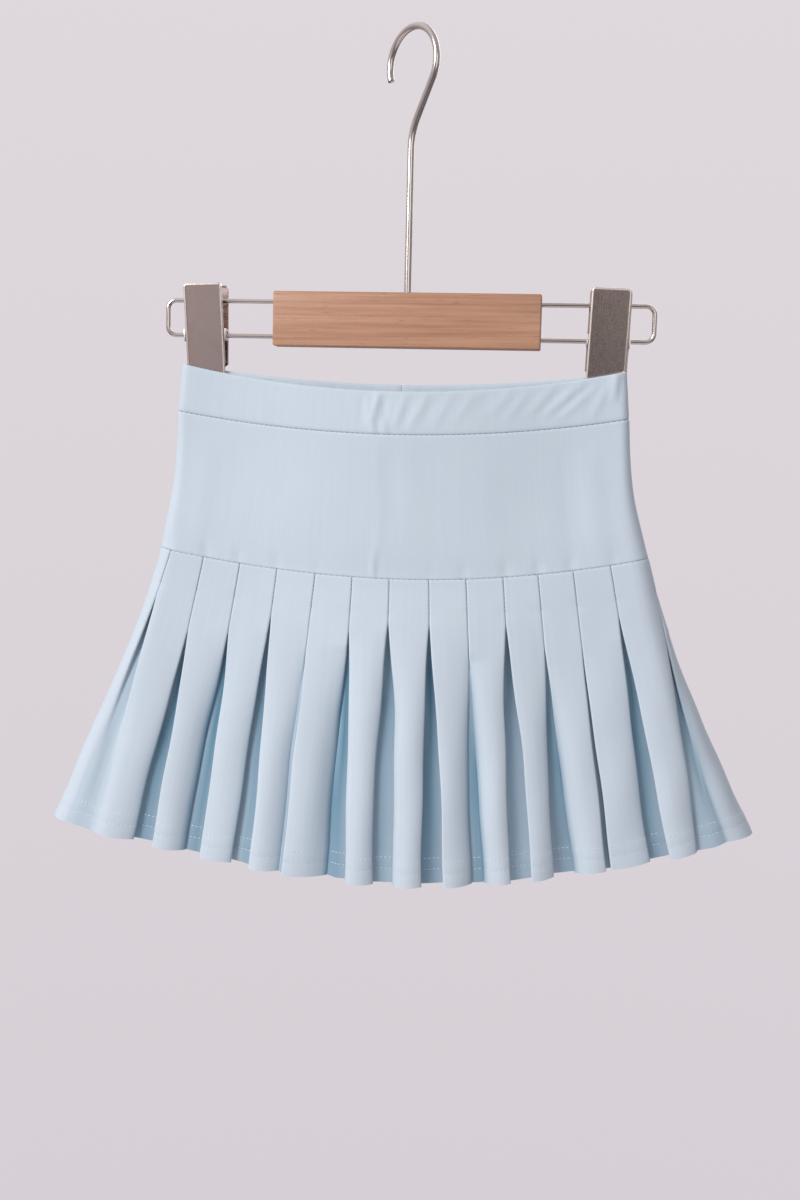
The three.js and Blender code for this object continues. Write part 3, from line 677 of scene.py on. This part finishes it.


# Jersey: fine knitted polyester and elastane in pale blue, matt, with a faint sheen at a glancing angle,
# long faint streaks down the cloth, and a painted shade: a deeper blue mixed in where the cloth lies
# inside a pleat.
jersey, tree, shader, place = new_finish(
    "pale_blue_jersey", Roughness=0.72, Sheen_Weight=0.25, Sheen_Roughness=0.35
)
cloth_map = add(tree, "UVMap", {}, uv_map="Cloth").outputs["UV"]
cloudy = add(tree, "TexNoise", {"Vector": place, "Scale": 22.0, "Detail": 3.0, "Roughness": 0.5})
lengthways = add(tree, "Mapping", {"Vector": cloth_map, "Scale": (650, 14, 1)})
streaks = add(tree, "TexNoise", {"Vector": lengthways, "Scale": 1.0, "Detail": 2.0})
both = add(tree, "Math", {0: cloudy, 1: streaks}, operation="ADD")
mean = add(tree, "Math", {0: both, 1: 0.5}, operation="MULTIPLY")
face = add(tree, "ValToRGB", {"Fac": mean}, [(0.2, "#C3D1DC"), (0.8, "#CCDAE4")])
# The painted shade of the pleats, stored on the skirt's points, mixes in the deeper blue.
depth = add(tree, "Attribute", {}, attribute_name="Depth").outputs["Fac"]
shaded = add(tree, "Mix", {"Factor": depth, "A": face, "B": paint("#56869F")}, data_type="RGBA")
# The ribs are 0.4 mm apart on the cloth and drawn 0.8 mm apart, so that they show. The courses are drawn
# 0.56 mm apart.
waves = []
for direction, scale, distortion in (("X", 393.0, 0.6), ("Y", 560.0, 0.8)):
    inputs = {"Vector": cloth_map, "Scale": scale, "Distortion": distortion, "Detail": 1.0}
    wave = add(tree, "TexWave", inputs, wave_type="BANDS", bands_direction=direction)
    waves.append(wave.outputs["Fac"])
knit = add(tree, "Math", {0: waves[0], 1: waves[1]}, operation="MULTIPLY")
fuzz = add(tree, "TexNoise", {"Vector": place, "Scale": 1400.0, "Detail": 2.0})
height = add(tree, "Math", {0: knit, 1: fuzz}, operation="ADD")
raised = add(tree, "Bump", {"Height": height, "Strength": 0.16, "Distance": 0.00012})
feed(shader, {"Base Color": shaded, "Normal": raised})


def band_piece(name, start, stop, wrinkles):
    """One length of the doubled band: its section goes up the inside, over the fold and down the outside."""
    top, foot = BAND_TOP + BAND_SKIN, WAIST_SEAM
    outside, inside = BAND_SKIN, BAND_WALL - BAND_SKIN
    r = (inside - outside) / 2
    section = [(down, inside) for down in np.linspace(foot - 0.2, top + r, 8)]
    section += [(top + r - r * math.sin(a), outside + r + r * math.cos(a)) for a in np.linspace(0.4, 2.74, 6)]
    section += [(down, outside) for down in np.linspace(top + r, foot - 2.4, 16)]
    section += [(foot - 1.0, outside + 0.05), (foot - 0.5, outside + 0.25), (foot - 0.2, outside + 0.8)]
    shares = np.linspace(start, stop, max(30, int(abs(stop - start) * half_round(HANG[0]) / 1.5)))
    gap = seam_gap(len(shares))
    rows = []
    for down, inward in section:
        row = hang_at(down)
        place = shares * half_round(row) + gap
        deep = inward + END_TUCK * (gap != 0) * (1 if inward < 1 else -1)
        flat = loop_points(row, place, deep)
        rows.append(loop_points(row, place, deep - wrinkled(flat, wrinkles)))
    piece = sheet_mesh(name, np.array(rows))
    use(piece, "SOLIDIFY", thickness=2 * BAND_SKIN * MM, offset=0, use_even_offset=True)
    return piece


BACK_BAND_WRINKLES = [
    (-96, -178, -80, -198, 2.2, 0.5), (-86, -180, -66, -199, 2.4, -0.4), (-74, -181, -58, -200, 2.2, 0.45),
    (-40, -183, -32, -202, 2.4, 0.4), (-18, -184, -15, -203, 2.0, 0.5), (-6, -184, -6, -204, 1.8, -0.3),
    (9, -184, 8, -204, 1.8, 0.45), (24, -184, 20, -203, 2.0, 0.5), (45, -183, 37, -202, 2.4, -0.35),
    (60, -182, 48, -201, 2.2, 0.5), (78, -181, 64, -200, 2.2, 0.45), (92, -179, 76, -198, 2.2, 0.6),
]
for name, start, stop, wrinkles in (
    ("waistband_front", -0.5, 0.5, BAND_WRINKLES),
    ("waistband_back_right", 0.5, 1.0, BACK_BAND_WRINKLES),
    ("waistband_back_left", -1.0, -0.5, BACK_BAND_WRINKLES),
):
    band = band_piece(f"{name}_cloth", start, stop, wrinkles)
    hand_over(band, jersey, "cloth", name, angle=50)


# Yoke
# A hip yoke in single jersey, front and back, cut curved and joined at the sides. The waistband is sewn to
# its top edge and the pleated skirt to its lower edge, with the turnings inside.

CLOTH = 0.7
SIDE_SEAMS = (-147, 156)
SEAM_AROUND = half_round(hang_at(0.0))
SEAM_TUCK = 0.35
SEAM_DEEP_TUCK = 0.75
PUCKER = 0.4
PUCKER_SPREAD = 0.25
PUCKER_HALF = 2.6

# The pleats of the skirt, which pucker the yoke above them. Columns: place at the seam, place at the hem,
# distance down where it opens, width at the hem, share of that width half way down, how far the edge on its
# left and on its right has softened (0 is a pressed crease), its greatest depth, and for the panel to its
# right the share of the width where it is fullest and how far its edges fall back. In millimetres.
# A greatest depth past about 9 mm, more than the cloth reaches, only deepens that pleat's painted shade.
FRONT_PLEATS = [
    (-147, -227, 30, 12, 0.6, 1.5, 2.0, 9, 0.6, 7),
    (-124, -173, 26, 18, 0.5, 6.0, 5.0, 5.5, 0.3, 6),
    (-105.8, -136, 40, 12, 0.6, 2.2, 0.2, 10, 0.15, 9),
    (-85.6, -108, 37, 10.6, 0.75, 0.8, 0, 11, 0.3, 7.5),
    (-65, -80, 25, 11, 0.65, 0, 2.6, 9, 0.15, 9),
    (-44, -56.5, 40, 2.1, 0.75, 1.8, 0, 8, 0.05, 10),
    (-23.9, -27, 29, 12.2, 0.6, 1.6, 0, 11, 0.45, 8),
    (-4, -0.8, 23, 10.5, 0.9, 2.2, 0, 8, 0.55, 8),
    (17, 25.5, 23, 11.4, 0.7, 1.5, 0, 10, 0.2, 8),
    (36.5, 49.5, 42, 6.4, 0.65, 0, 2.4, 9, 0.72, 7.5),
    (55.9, 71.5, 25, 10.6, 0.8, 2.4, 0, 7, 0.3, 6),
    (74.1, 94.3, 40, 11, 0.55, 0, 2.4, 9, 0.75, 7.5),
    (92.3, 116.6, 42, 2.6, 0.7, 0.4, 0, 7, 0.38, 6),
    (111.5, 143.5, 27, 9.7, 0.65, 2.4, 0, 9, 0.3, 8),
    (134.5, 171.5, 41, 19, 0.4, 0, 6.0, 7.5, 0.85, 5.5),
    (156, 226, 32, 12, 0.6, 1.8, 1.5, 9, 0.5, 4),
]


def yoke_piece(name, start, stop, wrinkles):
    """The yoke's front or back, sunk along both seams and puckered above each pleat."""
    downs = [-75.6, -75.3, -74.9, -74.2, -73, *np.linspace(-71.5, -4, 34), -2.4, -1.5, -0.9, -0.5, -0.2]
    shares = np.linspace(start, stop, 200)
    gap = seam_gap(len(shares))
    rows = []
    for down in downs:
        row = hang_at(down)
        place = shares * half_round(row) + gap
        near = min(down - WAIST_SEAM, -down)
        tuck = SEAM_TUCK + SEAM_DEEP_TUCK * max(0, 1 - near / 0.8) ** 2
        flat = loop_points(row, place, tuck)
        pucker = np.zeros_like(place)
        for i, pleat in enumerate(FRONT_PLEATS):
            off = place - pleat[0] - 1.5 * math.sin(4 * i)
            pucker += (PUCKER + PUCKER_SPREAD * math.sin(7 * i)) * np.exp(-((off / PUCKER_HALF) ** 2))
        pucker *= math.exp(-(((down + 3) / 5) ** 2))
        rows.append(loop_points(row, place, tuck + pucker - wrinkled(flat, wrinkles)))
    return sheet_mesh(name, np.array(rows))


YOKE_BACK_WRINKLES = [(20, -212, 24, -280, 8, 0.5), (-34, -212, -40, -278, 9, 0.4)]
left_share, right_share = (seam / SEAM_AROUND for seam in SIDE_SEAMS)
for name, start, stop, wrinkles in (
    ("yoke_front", left_share, right_share, YOKE_WRINKLES),
    ("yoke_back", right_share, 2 + left_share, YOKE_BACK_WRINKLES),
):
    yoke = yoke_piece(f"{name}_cloth", start, stop, wrinkles)
    use(yoke, "SOLIDIFY", thickness=CLOTH * MM, offset=0, use_even_offset=True)
    hand_over(yoke, jersey, "cloth", name, angle=50)
    width = (stop - start) * SEAM_AROUND * MM


# Pleated skirt
# Single jersey, heat-set in inverted box pleats, each sewn shut for 20 mm below the yoke and loosened
# further down. One crease of most pleats has softened and rolls back; the other is still sharp. The hem is
# turned up once.

PLEAT_UNDERLAY = 17.6
SKIRT_LENGTH = 161
LAYER = 1.3
CLOSED = 0.06
HEM_HEIGHT = 14.6
HEM_THICKER = 0.22
HEM_ROWS = (7.4, 13.4)
STITCH_GROOVE = 0.16
BACK_GAPS = [10, 13, 9, 12, 11, 8, 12, 10, 13, 9, 11, 12]
SKIRT_DOWNS = np.concatenate([
    [0.2, 0.5, 1.0, 2.0], np.linspace(4, 60, 24), np.linspace(64, 144, 20),
    [146, 146.8, 147.6, 148.4, 150, 152, 153, 153.6, 154.2, 156, 158.5, 161],
])

# Where a pleat is in a row: its place, its width, how far its cloth reaches under each panel, how deep it
# lies, how far each edge has rolled back, how far it has parted, how far down its opening the row is, and
# of the panel to its right where it is fullest and how far its edges fall back, then the pleat's greatest
# depth.
Fold = namedtuple("Fold", "middle gap under depth left_soft right_soft opened along crest fall most")


def back_pleats():
    """The back's pleats, whose first number is a share of the way round the back."""
    made = []
    for i, gap in enumerate(BACK_GAPS):
        share = (i + 1) / (len(BACK_GAPS) + 1)
        early = 0.6 + 0.04 * (i % 4)
        soft = (0.2, 2.4) if i % 3 == 1 else (2.2, 0)
        crest = 0.3 + 0.08 * (i % 4)
        made.append((share, None, 28 + 5 * (i % 3), gap, early, *soft, 9, crest, 7))
    return made


def fold_at(pleat, down, row):
    """The fold that a pleat makes at a distance down."""
    first, foot, opens, wide, early, left_soft, right_soft, most, crest, fall = pleat
    t = down / SKIRT_LENGTH
    if foot is None:
        right, left = FRONT_PLEATS[-1], FRONT_PLEATS[0]
        from_right = right[0] + (right[1] - right[0]) * t
        to_left = left[0] + (left[1] - left[0]) * t + 2 * half_round(row)
        middle = from_right + (to_left - from_right) * first
    else:
        middle = first + (foot - first) * t
    along = min(max((down - opens) / (SKIRT_LENGTH - opens), 0), 1)
    bend = 4 * early - 1
    share = max(0.0, bend * along + (1 - bend) * along * along)
    opened = min(1, share * 1.3)
    sway = 0.9 * math.sin(down / 23 + 5 * first) + 0.4 * math.sin(down / 9 + 3 * first)
    middle += sway * opened * (1 - t) ** 0.5
    gap = CLOSED + (wide - CLOSED) * share
    under = (PLEAT_UNDERLAY - gap) / 2
    flat = CLOTH / 2 + 2 * LAYER
    open_depth = CLOTH / 2 + math.sqrt(max(0, (PLEAT_UNDERLAY / 2) ** 2 - under**2))
    depth = max(flat, min(most, open_depth))
    soft = left_soft * opened, right_soft * opened
    return Fold(middle, gap, under, depth, *soft, opened, along, crest, fall * opened, most)


def rounded(chain, radii):
    """A chain of corners with each one rounded by three points."""
    made = [chain[0]]
    for i in range(1, len(chain) - 1):
        before, corner, after = (np.array(chain[k], float) for k in (i - 1, i, i + 1))
        a, b = np.linalg.norm(before - corner), np.linalg.norm(after - corner)
        p = corner + (before - corner) * min(radii[i], 0.49 * a) / max(a, 1e-6)
        q = corner + (after - corner) * min(radii[i], 0.49 * b) / max(b, 1e-6)
        made += [tuple(p), tuple(0.25 * p + 0.5 * corner + 0.25 * q), tuple(q)]
    return made + [chain[-1]]


def panel_chain(left, right):
    """The folded section of one panel, as pairs of distance round and depth, from the middle of the underlay
    on its left to that on its right."""
    h = CLOTH / 2
    a = left.middle + left.gap / 2 + h
    b = right.middle - right.gap / 2 - h
    crest = left.crest
    fall = left.fall * max(left.opened, right.opened) / max(left.opened, 0.01)
    ends = []
    for fold, soft, edge, way in ((left, left.right_soft, a, 1), (right, right.left_soft, b, -1)):
        back = fall * (crest if way > 0 else 1 - crest) ** 2 + 0.35 * soft
        step = LAYER - 0.5 * fold.opened
        shallow = max(fold.depth, h + back + 2 * step)
        if fold.opened > 0.2:
            shallow -= 0.13 * min(soft, 4) * (shallow - h - back - step)
        tucked = fold.under * max(0.0, 1 - soft / 3.5) - 1.7 * max(0.0, soft - 3.0)
        softened = min(fold.left_soft + fold.right_soft, 4.5)
        middle = fold.middle, fold.depth - 0.05 * softened * (fold.depth - h - 2)
        # A crease that has softened past 3 mm lets its underlay hang in one slope, with no second fold.
        loose = min(max((soft - 3) / 2.5, 0), 1)
        shallow += loose * (0.7 * middle[1] + 0.3 * (h + back) - shallow)
        foot, top = np.array([edge + way * tucked, shallow]), np.array([edge, h + back])
        slack = min(max((soft - 1.5) / 2, 0), 1)
        under = np.array([foot[0], max(shallow - step, h + back + 0.6 * step)])
        over = np.array([edge, h + back + 0.6 * step])
        under = under * (1 - slack) + (foot * 0.6 + top * 0.4) * slack
        over = over * (1 - slack) + (foot * 0.4 + top * 0.6) * slack
        corners = [middle, tuple(foot), tuple(under), tuple(over), tuple(top)]
        radii = [0, 0.9 + 0.9 * soft, 1.0, 1.2, 0.35 + 0.15 * fold.opened + 0.8 * soft]
        ends.append((corners, radii))
    face = []
    for t in (0.05, 0.11, 0.18, 0.26, 0.35, 0.45, 0.55, 0.65, 0.74, 0.82, 0.89, 0.95):
        deep = h + fall * (t - crest) ** 2
        deep += 0.35 * left.right_soft * max(0, 1 - t / 0.4) ** 2
        deep += 0.35 * right.left_soft * max(0, (t - 0.6) / 0.4) ** 2
        face.append((a + t * (b - a), deep))
    (lead, lead_radii), (trail, trail_radii) = ends
    first = rounded(lead + face[:1], lead_radii + [0])[:-1]
    last = rounded(trail + face[-1:], trail_radii + [0])[:-1]
    return first + face + last[::-1]


def shade_in(fold, place, deep):
    """How much painted shade the cloth gets at a place and depth in a fold, from 0 to 1."""
    buried = min(max((deep - 1.4) / 4.5, 0), 1)
    buried *= max(0.2, 1 - max(0, abs(place - fold.middle) - fold.gap / 2 - 0.5) / 3)
    narrow = max(0.4, 1.1 - fold.gap / 40)
    return min(1, buried * (1 - 0.25 * fold.along) * narrow * fold.most / 9)


def skirt_points(row, down, chain, inward):
    """Points of the folded cloth in one row, pushed inward and waved, the more the nearer to the hem."""
    s, deep = chain[:, 0], chain[:, 1]
    t = down / SKIRT_LENGTH
    wave = 0.45 * t * t * np.sin(s / 7.3 + 2.1 * np.sin(down / 41)) + 0.25 * t * np.sin(down / 13 + s / 5.1)
    points = loop_points(row, s, deep + inward - wave)
    points[:, 2] += 0.1 * (deep - CLOTH / 2) * t
    return points


def skirt_piece(name, pleats):
    """The skirt's front or back: all its panels in one run of cloth, with painted shade stored for its
    pleats.
    """
    rows, shades = [], []
    for down in SKIRT_DOWNS:
        row = hang_at(down)
        folds = [fold_at(pleat, down, row) for pleat in pleats]
        chain, shade = [], []
        for left, right in zip(folds[:-1], folds[1:]):
            middle = (left.middle + right.middle) / 2
            for place, deep in panel_chain(left, right)[:-1]:
                chain.append((place, deep))
                shade.append(shade_in(left if place < middle else right, place, deep))
        chain.append((folds[-1].middle, folds[-1].depth))
        shade.append(shade[-1])
        chain = np.array(chain)
        chain[:, 0] += seam_gap(len(chain))
        up = SKIRT_LENGTH - down
        inward = 0.55 * max(0, 1 - down / 0.9) ** 2
        inward -= HEM_THICKER * min(max((HEM_HEIGHT - up) / 0.8, 0), 1)
        inward += sum(STITCH_GROOVE * math.exp(-(((up - at) / 0.7) ** 2)) for at in HEM_ROWS)
        notch = 0.4 * math.exp(-(((down - 19) / 2.2) ** 2))
        for fold in folds:
            inward = inward + notch * np.exp(-(((chain[:, 0] - fold.middle) / 4.5) ** 2))
        rows.append(skirt_points(row, down, chain, inward))
        shades.append(shade)
    piece = sheet_mesh(f"{name}_cloth", np.array(rows))
    # Each point's painted shade, which the jersey's finish reads to darken the pleats.
    layer = piece.data.attributes.new("Depth", "FLOAT", "POINT")
    layer.data.foreach_set("value", np.array(shades).reshape(-1).astype(np.float32))
    use(piece, "SOLIDIFY", thickness=CLOTH * MM, offset=0, use_quality_normals=True)
    return hand_over(piece, jersey, "cloth", name, angle=60)


# The back runs from the right side's pleat to the left side's, whose place is here a share of the back.
back_run = [FRONT_PLEATS[-1]] + back_pleats() + [(1.0, None, *FRONT_PLEATS[0][2:])]
skirt_runs = {"skirt_front": FRONT_PLEATS, "skirt_back": back_run}
skirts = {name: skirt_piece(name, run) for name, run in skirt_runs.items()}


# Inner shorts
# Short legs in the same jersey, sewn into the waist seam under the yoke, with a seam at the centre front
# and back and a turned hem on each leg. Only their lower edge can be seen, from below.

# The rows of the hang down to the yoke seam, then the legs' own rows in the same columns, and how far
# inside them the shorts lie.
SHORTS = np.vstack([HANG[1:6], [
    (45, -330, 0, 13, 13, 128, 5.4, 7, 6, -2.6, 0),
    (89, -374, 0, 12, 12, 131, 8.0, 10, 10, -1, 0),
    (103, -388, 0, 11, 11, 132, 9.0, 9, 9, 0, 0),
    (136, -421, 0, 9, 9, 135, 10.0, 8, 8, 0, 0),
]])
SHORTS[0, :2] += (0.3, -0.3)
SHORTS_INSET = [1.9, 2.0, 2.3, 3.5, 5.3, 0.5, 0.5, 0.5, 0.5]
CROTCH = 89
INSEAM_HALF = 4.35
INSEAM_TURN = 6


def shorts_piece(name, side):
    """One half of the shorts: a wall from centre front to centre back that closes to a leg at the crotch."""
    rows = []
    for down in (*np.linspace(-75.3, 84, 26), 87, 89, 91, 94, 98, 103, *np.linspace(108, 135, 8)):
        row = np.array([np.interp(down, SHORTS[:, 0], column) for column in SHORTS.T])
        legs = np.clip((down - CROTCH) / 14, 0, 1)
        inseam = SEAM_GAP + INSEAM_HALF * legs + 0.5 * np.clip((down - 103) / 33, 0, 1)
        turn = INSEAM_TURN * legs + 0.001
        start = inseam + turn
        round_places = side * np.linspace(start, half_round(row) - start, 90)
        outer = loop_points(row, round_places, np.interp(down, SHORTS[:, 0], SHORTS_INSET))
        front, back = outer[0], outer[-1]
        middle, reach = (front[1] + back[1]) / 2, abs(back[1] - front[1]) / 2
        bend = np.linspace(0, math.pi / 2, 9)[1:]
        lead = [(side * (start - turn * math.sin(a)), middle - reach * math.cos(a), front[2]) for a in bend]
        trail = [(x, 2 * middle - y, z) for x, y, z in lead]
        if legs == 0:
            lead = [(side * inseam, front[1], front[2])] * len(bend)
            trail = [(side * inseam, back[1], back[2])] * len(bend)
        points = np.concatenate([np.array(lead[::-1]), outer, np.array(trail)])
        rows.append(points if side > 0 else points[::-1])
    return sheet_mesh(name, np.array(rows))


for name, side in (("shorts_left", -1), ("shorts_right", 1)):
    leg = shorts_piece(f"{name}_cloth", side)
    use(leg, "WELD", merge_threshold=0.00002)
    use(leg, "SOLIDIFY", thickness=CLOTH * MM, offset=0)
    hand_over(leg, jersey, "cloth", name, angle=50)


# Threads
# Spun polyester thread: a needle line in the waist seam and in the yoke seam, short lines that sew each
# pleat shut, and the two rows of the cover stitch that holds the hem, 6 mm apart.

THREAD_SIDES = 5
THREAD_LIFT = 0.08
STITCH_ENDS = 0.45

# Matt and finely flecked. The thread of the seams is a shade deeper than the cloth, that of the hem paler.
threads = {}
for name, dark, light in (
    ("blue_grey_thread", "#7391A8", "#8FAABD"),
    ("pale_blue_thread", "#CCDCE6", "#E2EDF4"),
):
    threads[name], tree, shader, place = new_finish(name, Roughness=0.6, Sheen_Weight=0.2)
    spun = add(tree, "TexNoise", {"Vector": place, "Scale": 900.0, "Detail": 2.0})
    tint = add(tree, "ValToRGB", {"Fac": spun}, [(0.3, dark), (0.7, light)])
    feed(shader, {"Base Color": tint})
deep_thread, pale_thread = threads.values()


def stitches(name, runs, length, space, radius, finish):
    """Short raised stitches end to end along each run of points in mm, as one piece."""
    vertices, faces = [], []
    sides = range(THREAD_SIDES)
    for run in runs:
        run = np.asarray(run)
        far = np.concatenate([[0], np.cumsum(np.linalg.norm(np.diff(run, axis=0), axis=1))])
        for begin in np.arange(space / 2, far[-1] - length, length + space):
            places = [begin + share * length for share in (0, 0.25, 0.75, 1)]
            spots = [np.array([np.interp(place, far, column) for column in run.T]) for place in places]
            way = spots[-1] - spots[0]
            way /= max(np.linalg.norm(way), 1e-6)
            across = np.cross(way, (0.31, 0.17, 0.93))
            across /= np.linalg.norm(across)
            third = np.cross(way, across)
            base = len(vertices)
            for spot, size in zip(spots, (STITCH_ENDS, 1.0, 1.0, STITCH_ENDS)):
                for k in sides:
                    a = 2 * math.pi * k / THREAD_SIDES
                    out = across * math.cos(a) + third * math.sin(a)
                    vertices.append((spot + radius * size * out) * MM)
            for first in range(base, base + 3 * THREAD_SIDES, THREAD_SIDES):
                for k in sides:
                    n = (k + 1) % THREAD_SIDES
                    faces.append((first + k, first + n, first + THREAD_SIDES + n, first + THREAD_SIDES + k))
            faces.append(tuple(base + THREAD_SIDES - 1 - k for k in sides))
            faces.append(tuple(base + 3 * THREAD_SIDES + k for k in sides))
    mesh = bpy.data.meshes.new(name)
    mesh.from_pydata([tuple(v) for v in vertices], [], faces)
    piece = take(new_piece(name, mesh))
    bpy.ops.object.mode_set(mode="EDIT")
    turn_outward()
    bpy.ops.object.mode_set(mode="OBJECT")
    return hand_over(piece, finish, "cloth", angle=80)


def seam_run(down, inward):
    """The line of a seam all the way round."""
    row = hang_at(down)
    around = half_round(row)
    return loop_points(row, np.linspace(-around, around, 700), inward)


def pleat_runs(pleats):
    """The line that sews each pleat shut, from the yoke seam to where the pleat opens."""
    runs = []
    for pleat in pleats:
        line = []
        for down in np.linspace(1, 20, 20):
            row = hang_at(down)
            line.append(loop_points(row, np.array([fold_at(pleat, down, row).middle]), 0.22)[0])
        runs.append(line)
    return runs


def hem_runs(pleats, height):
    """The line of a row of hem stitches along the outside of the folded cloth."""
    down = SKIRT_LENGTH - height
    row = hang_at(down)
    folds = [fold_at(pleat, down, row) for pleat in pleats]
    lift = CLOTH / 2 + HEM_THICKER - STITCH_GROOVE + THREAD_LIFT
    runs = []
    for left, right in zip(folds[:-1], folds[1:]):
        chain = np.array(panel_chain(left, right))
        start, stop = left.middle + left.gap / 2, right.middle - right.gap / 2
        outer = chain[(chain[:, 0] > start) & (chain[:, 0] < stop) & (chain[:, 1] < 4.5)]
        runs.append(skirt_points(row, down, outer, -lift))
        for ends, fold, way in ((chain[:2], left, 1), (chain[:-3:-1], right, -1)):
            if fold.gap > 3:
                places = fold.middle + way * np.linspace(0, fold.gap / 2 - 0.8, 5)
                slope = (ends[1, 1] - ends[0, 1]) / (ends[1, 0] - ends[0, 0])
                depth = ends[0, 1] + slope * (places - fold.middle)
                runs.append(skirt_points(row, down, np.stack([places, depth], axis=-1), -lift))
    return runs


stitches("waist_seam_thread", [seam_run(-75.72, 0.45)], 1.4, 1.4, 0.18, deep_thread)
stitches("yoke_seam_thread", [seam_run(0.0, 0.4)], 1.3, 1.7, 0.17, deep_thread)
stitches("pleat_thread", pleat_runs(FRONT_PLEATS + back_pleats()), 1.2, 1.0, 0.12, deep_thread)
for name, width in (("skirt_front", 0.81), ("skirt_back", 0.71)):
    rows = [line for height in HEM_ROWS for line in hem_runs(skirt_runs[name], height)]
    hem = stitches(f"{name}_hem_thread", rows, 1.5, 0.8, 0.2, pale_thread)


# Light, floor and camera
# A pale floor well below the hem, a pale grey surround and three wide soft lights: one high on the left in
# front, a weaker one on the right and one from behind. The camera stands where the photograph was taken
# from.

FLOOR_HEIGHT = -1.45
LIT = (0, 0, -0.3)
EYE = Vector((0.0883, -0.7747, -0.2158))
ASPECT = math.radians(6.5)
DIP = math.radians(6.0)
TILT = math.radians(1.4)
LENS = 43.5
SENSOR = 36

surround = bpy.data.worlds.new("pale_surround")
bpy.context.scene.world = surround
surround.use_nodes = True
tree = surround.node_tree
way = add(tree, "TexCoord", {}).outputs["Generated"]
part = add(tree, "SeparateXYZ", {"Vector": way}).outputs
high = add(
    tree, "MapRange", {"Value": part["Z"], "From Min": -0.5, "From Max": 0.4, "To Min": 0.0, "To Max": 1.0}
)
wall = add(tree, "ValToRGB", {"Fac": high}, [(0.0, "#D6CFD5"), (1.0, "#E0DADF")])
# The cloth and the metal are lit by a surround that is brighter on the left and above.
sideways = add(
    tree,
    "MapRange",
    {"Value": part["X"], "From Min": -0.32, "From Max": 0.12, "To Min": 0.84, "To Max": 0.5},
    interpolation_type="SMOOTHSTEP",
)
upward = add(
    tree, "MapRange", {"Value": part["Z"], "From Min": -0.7, "From Max": 0.7, "To Min": 0.4, "To Max": 1.35}
)
glow = add(tree, "Math", {0: sideways, 1: upward}, operation="MULTIPLY")
# Behind the camera stands a dim brown doorway, which the right clip's plate mirrors.
toward = add(tree, "VectorMath", {0: way, 1: (0.1, -0.985, -0.14)}, operation="DOT_PRODUCT")
doorway = add(
    tree,
    "MapRange",
    {"Value": toward.outputs["Value"], "From Min": 0.962, "From Max": 0.988, "To Min": 1.0, "To Max": 0.04},
    interpolation_type="SMOOTHSTEP",
)
dimmed = add(tree, "Math", {0: glow, 1: doorway}, operation="MULTIPLY")
browned = add(tree, "Mix", {"Factor": doorway, "A": paint("#8A6238"), "B": wall}, data_type="RGBA")
# The camera itself sees a plain wall.
camera_ray = add(tree, "LightPath", {}).outputs["Is Camera Ray"]
level = add(tree, "Mix", {"Factor": camera_ray, "A": dimmed, "B": 1.0}, data_type="FLOAT")
shown = add(tree, "Mix", {"Factor": camera_ray, "A": browned, "B": wall}, data_type="RGBA")
feed(tree.nodes["Background"], {"Color": shown, "Strength": level})

# Painted board: flat and matt, slightly clouded.
board, tree, shader, place = new_finish("pale_painted_board", Roughness=0.9)
cloudy = add(tree, "TexNoise", {"Vector": place, "Scale": 3.0, "Detail": 2.0})
tint = add(tree, "ValToRGB", {"Fac": cloudy}, [(0.3, "#D9D3D8"), (0.7, "#DDD8DC")])
feed(shader, {"Base Color": tint})
clear_choice()
bpy.ops.mesh.primitive_plane_add(size=2.6, location=(0, 0, FLOOR_HEIGHT))
floor = name_piece("floor")
floor.data.materials.append(board)


def soft_light(name, spot, size, power, code):
    """A round lamp that faces the middle of the garment."""
    lamp = bpy.data.lights.new(name, "AREA")
    lamp.shape = "DISK"
    lamp.size = size
    lamp.energy = power
    lamp.color = paint(code)[:3]
    piece = new_piece(name, lamp)
    piece.location = spot
    piece.rotation_euler = (Vector(LIT) - Vector(spot)).to_track_quat("-Z", "Y").to_euler()


soft_light("key", (-2.0, -2.0, 1.0), 1.5, 62, "#FFFDFB")
soft_light("fill", (0.9, -1.8, 0.0), 1.4, 5, "#FFFFFF")
soft_light("back", (0.6, 1.6, 0.7), 1.2, 8, "#FFFFFF")

ahead = Vector((-math.sin(ASPECT) * math.cos(DIP), math.cos(ASPECT) * math.cos(DIP), -math.sin(DIP)))
right = Vector((math.cos(ASPECT), math.sin(ASPECT), 0))
above = right.cross(ahead)
lens_right = math.cos(TILT) * right + math.sin(TILT) * above
lens_up = math.cos(TILT) * above - math.sin(TILT) * right
camera = new_piece("camera", bpy.data.cameras.new("camera"))
camera.data.lens = LENS
camera.data.sensor_width = SENSOR
turned = [[lens_right[i], lens_up[i], -ahead[i], EYE[i]] for i in range(3)]
camera.matrix_world = Matrix(turned + [[0, 0, 0, 1]])
bpy.context.scene.camera = camera
bpy.context.scene.view_settings.view_transform = "Standard"
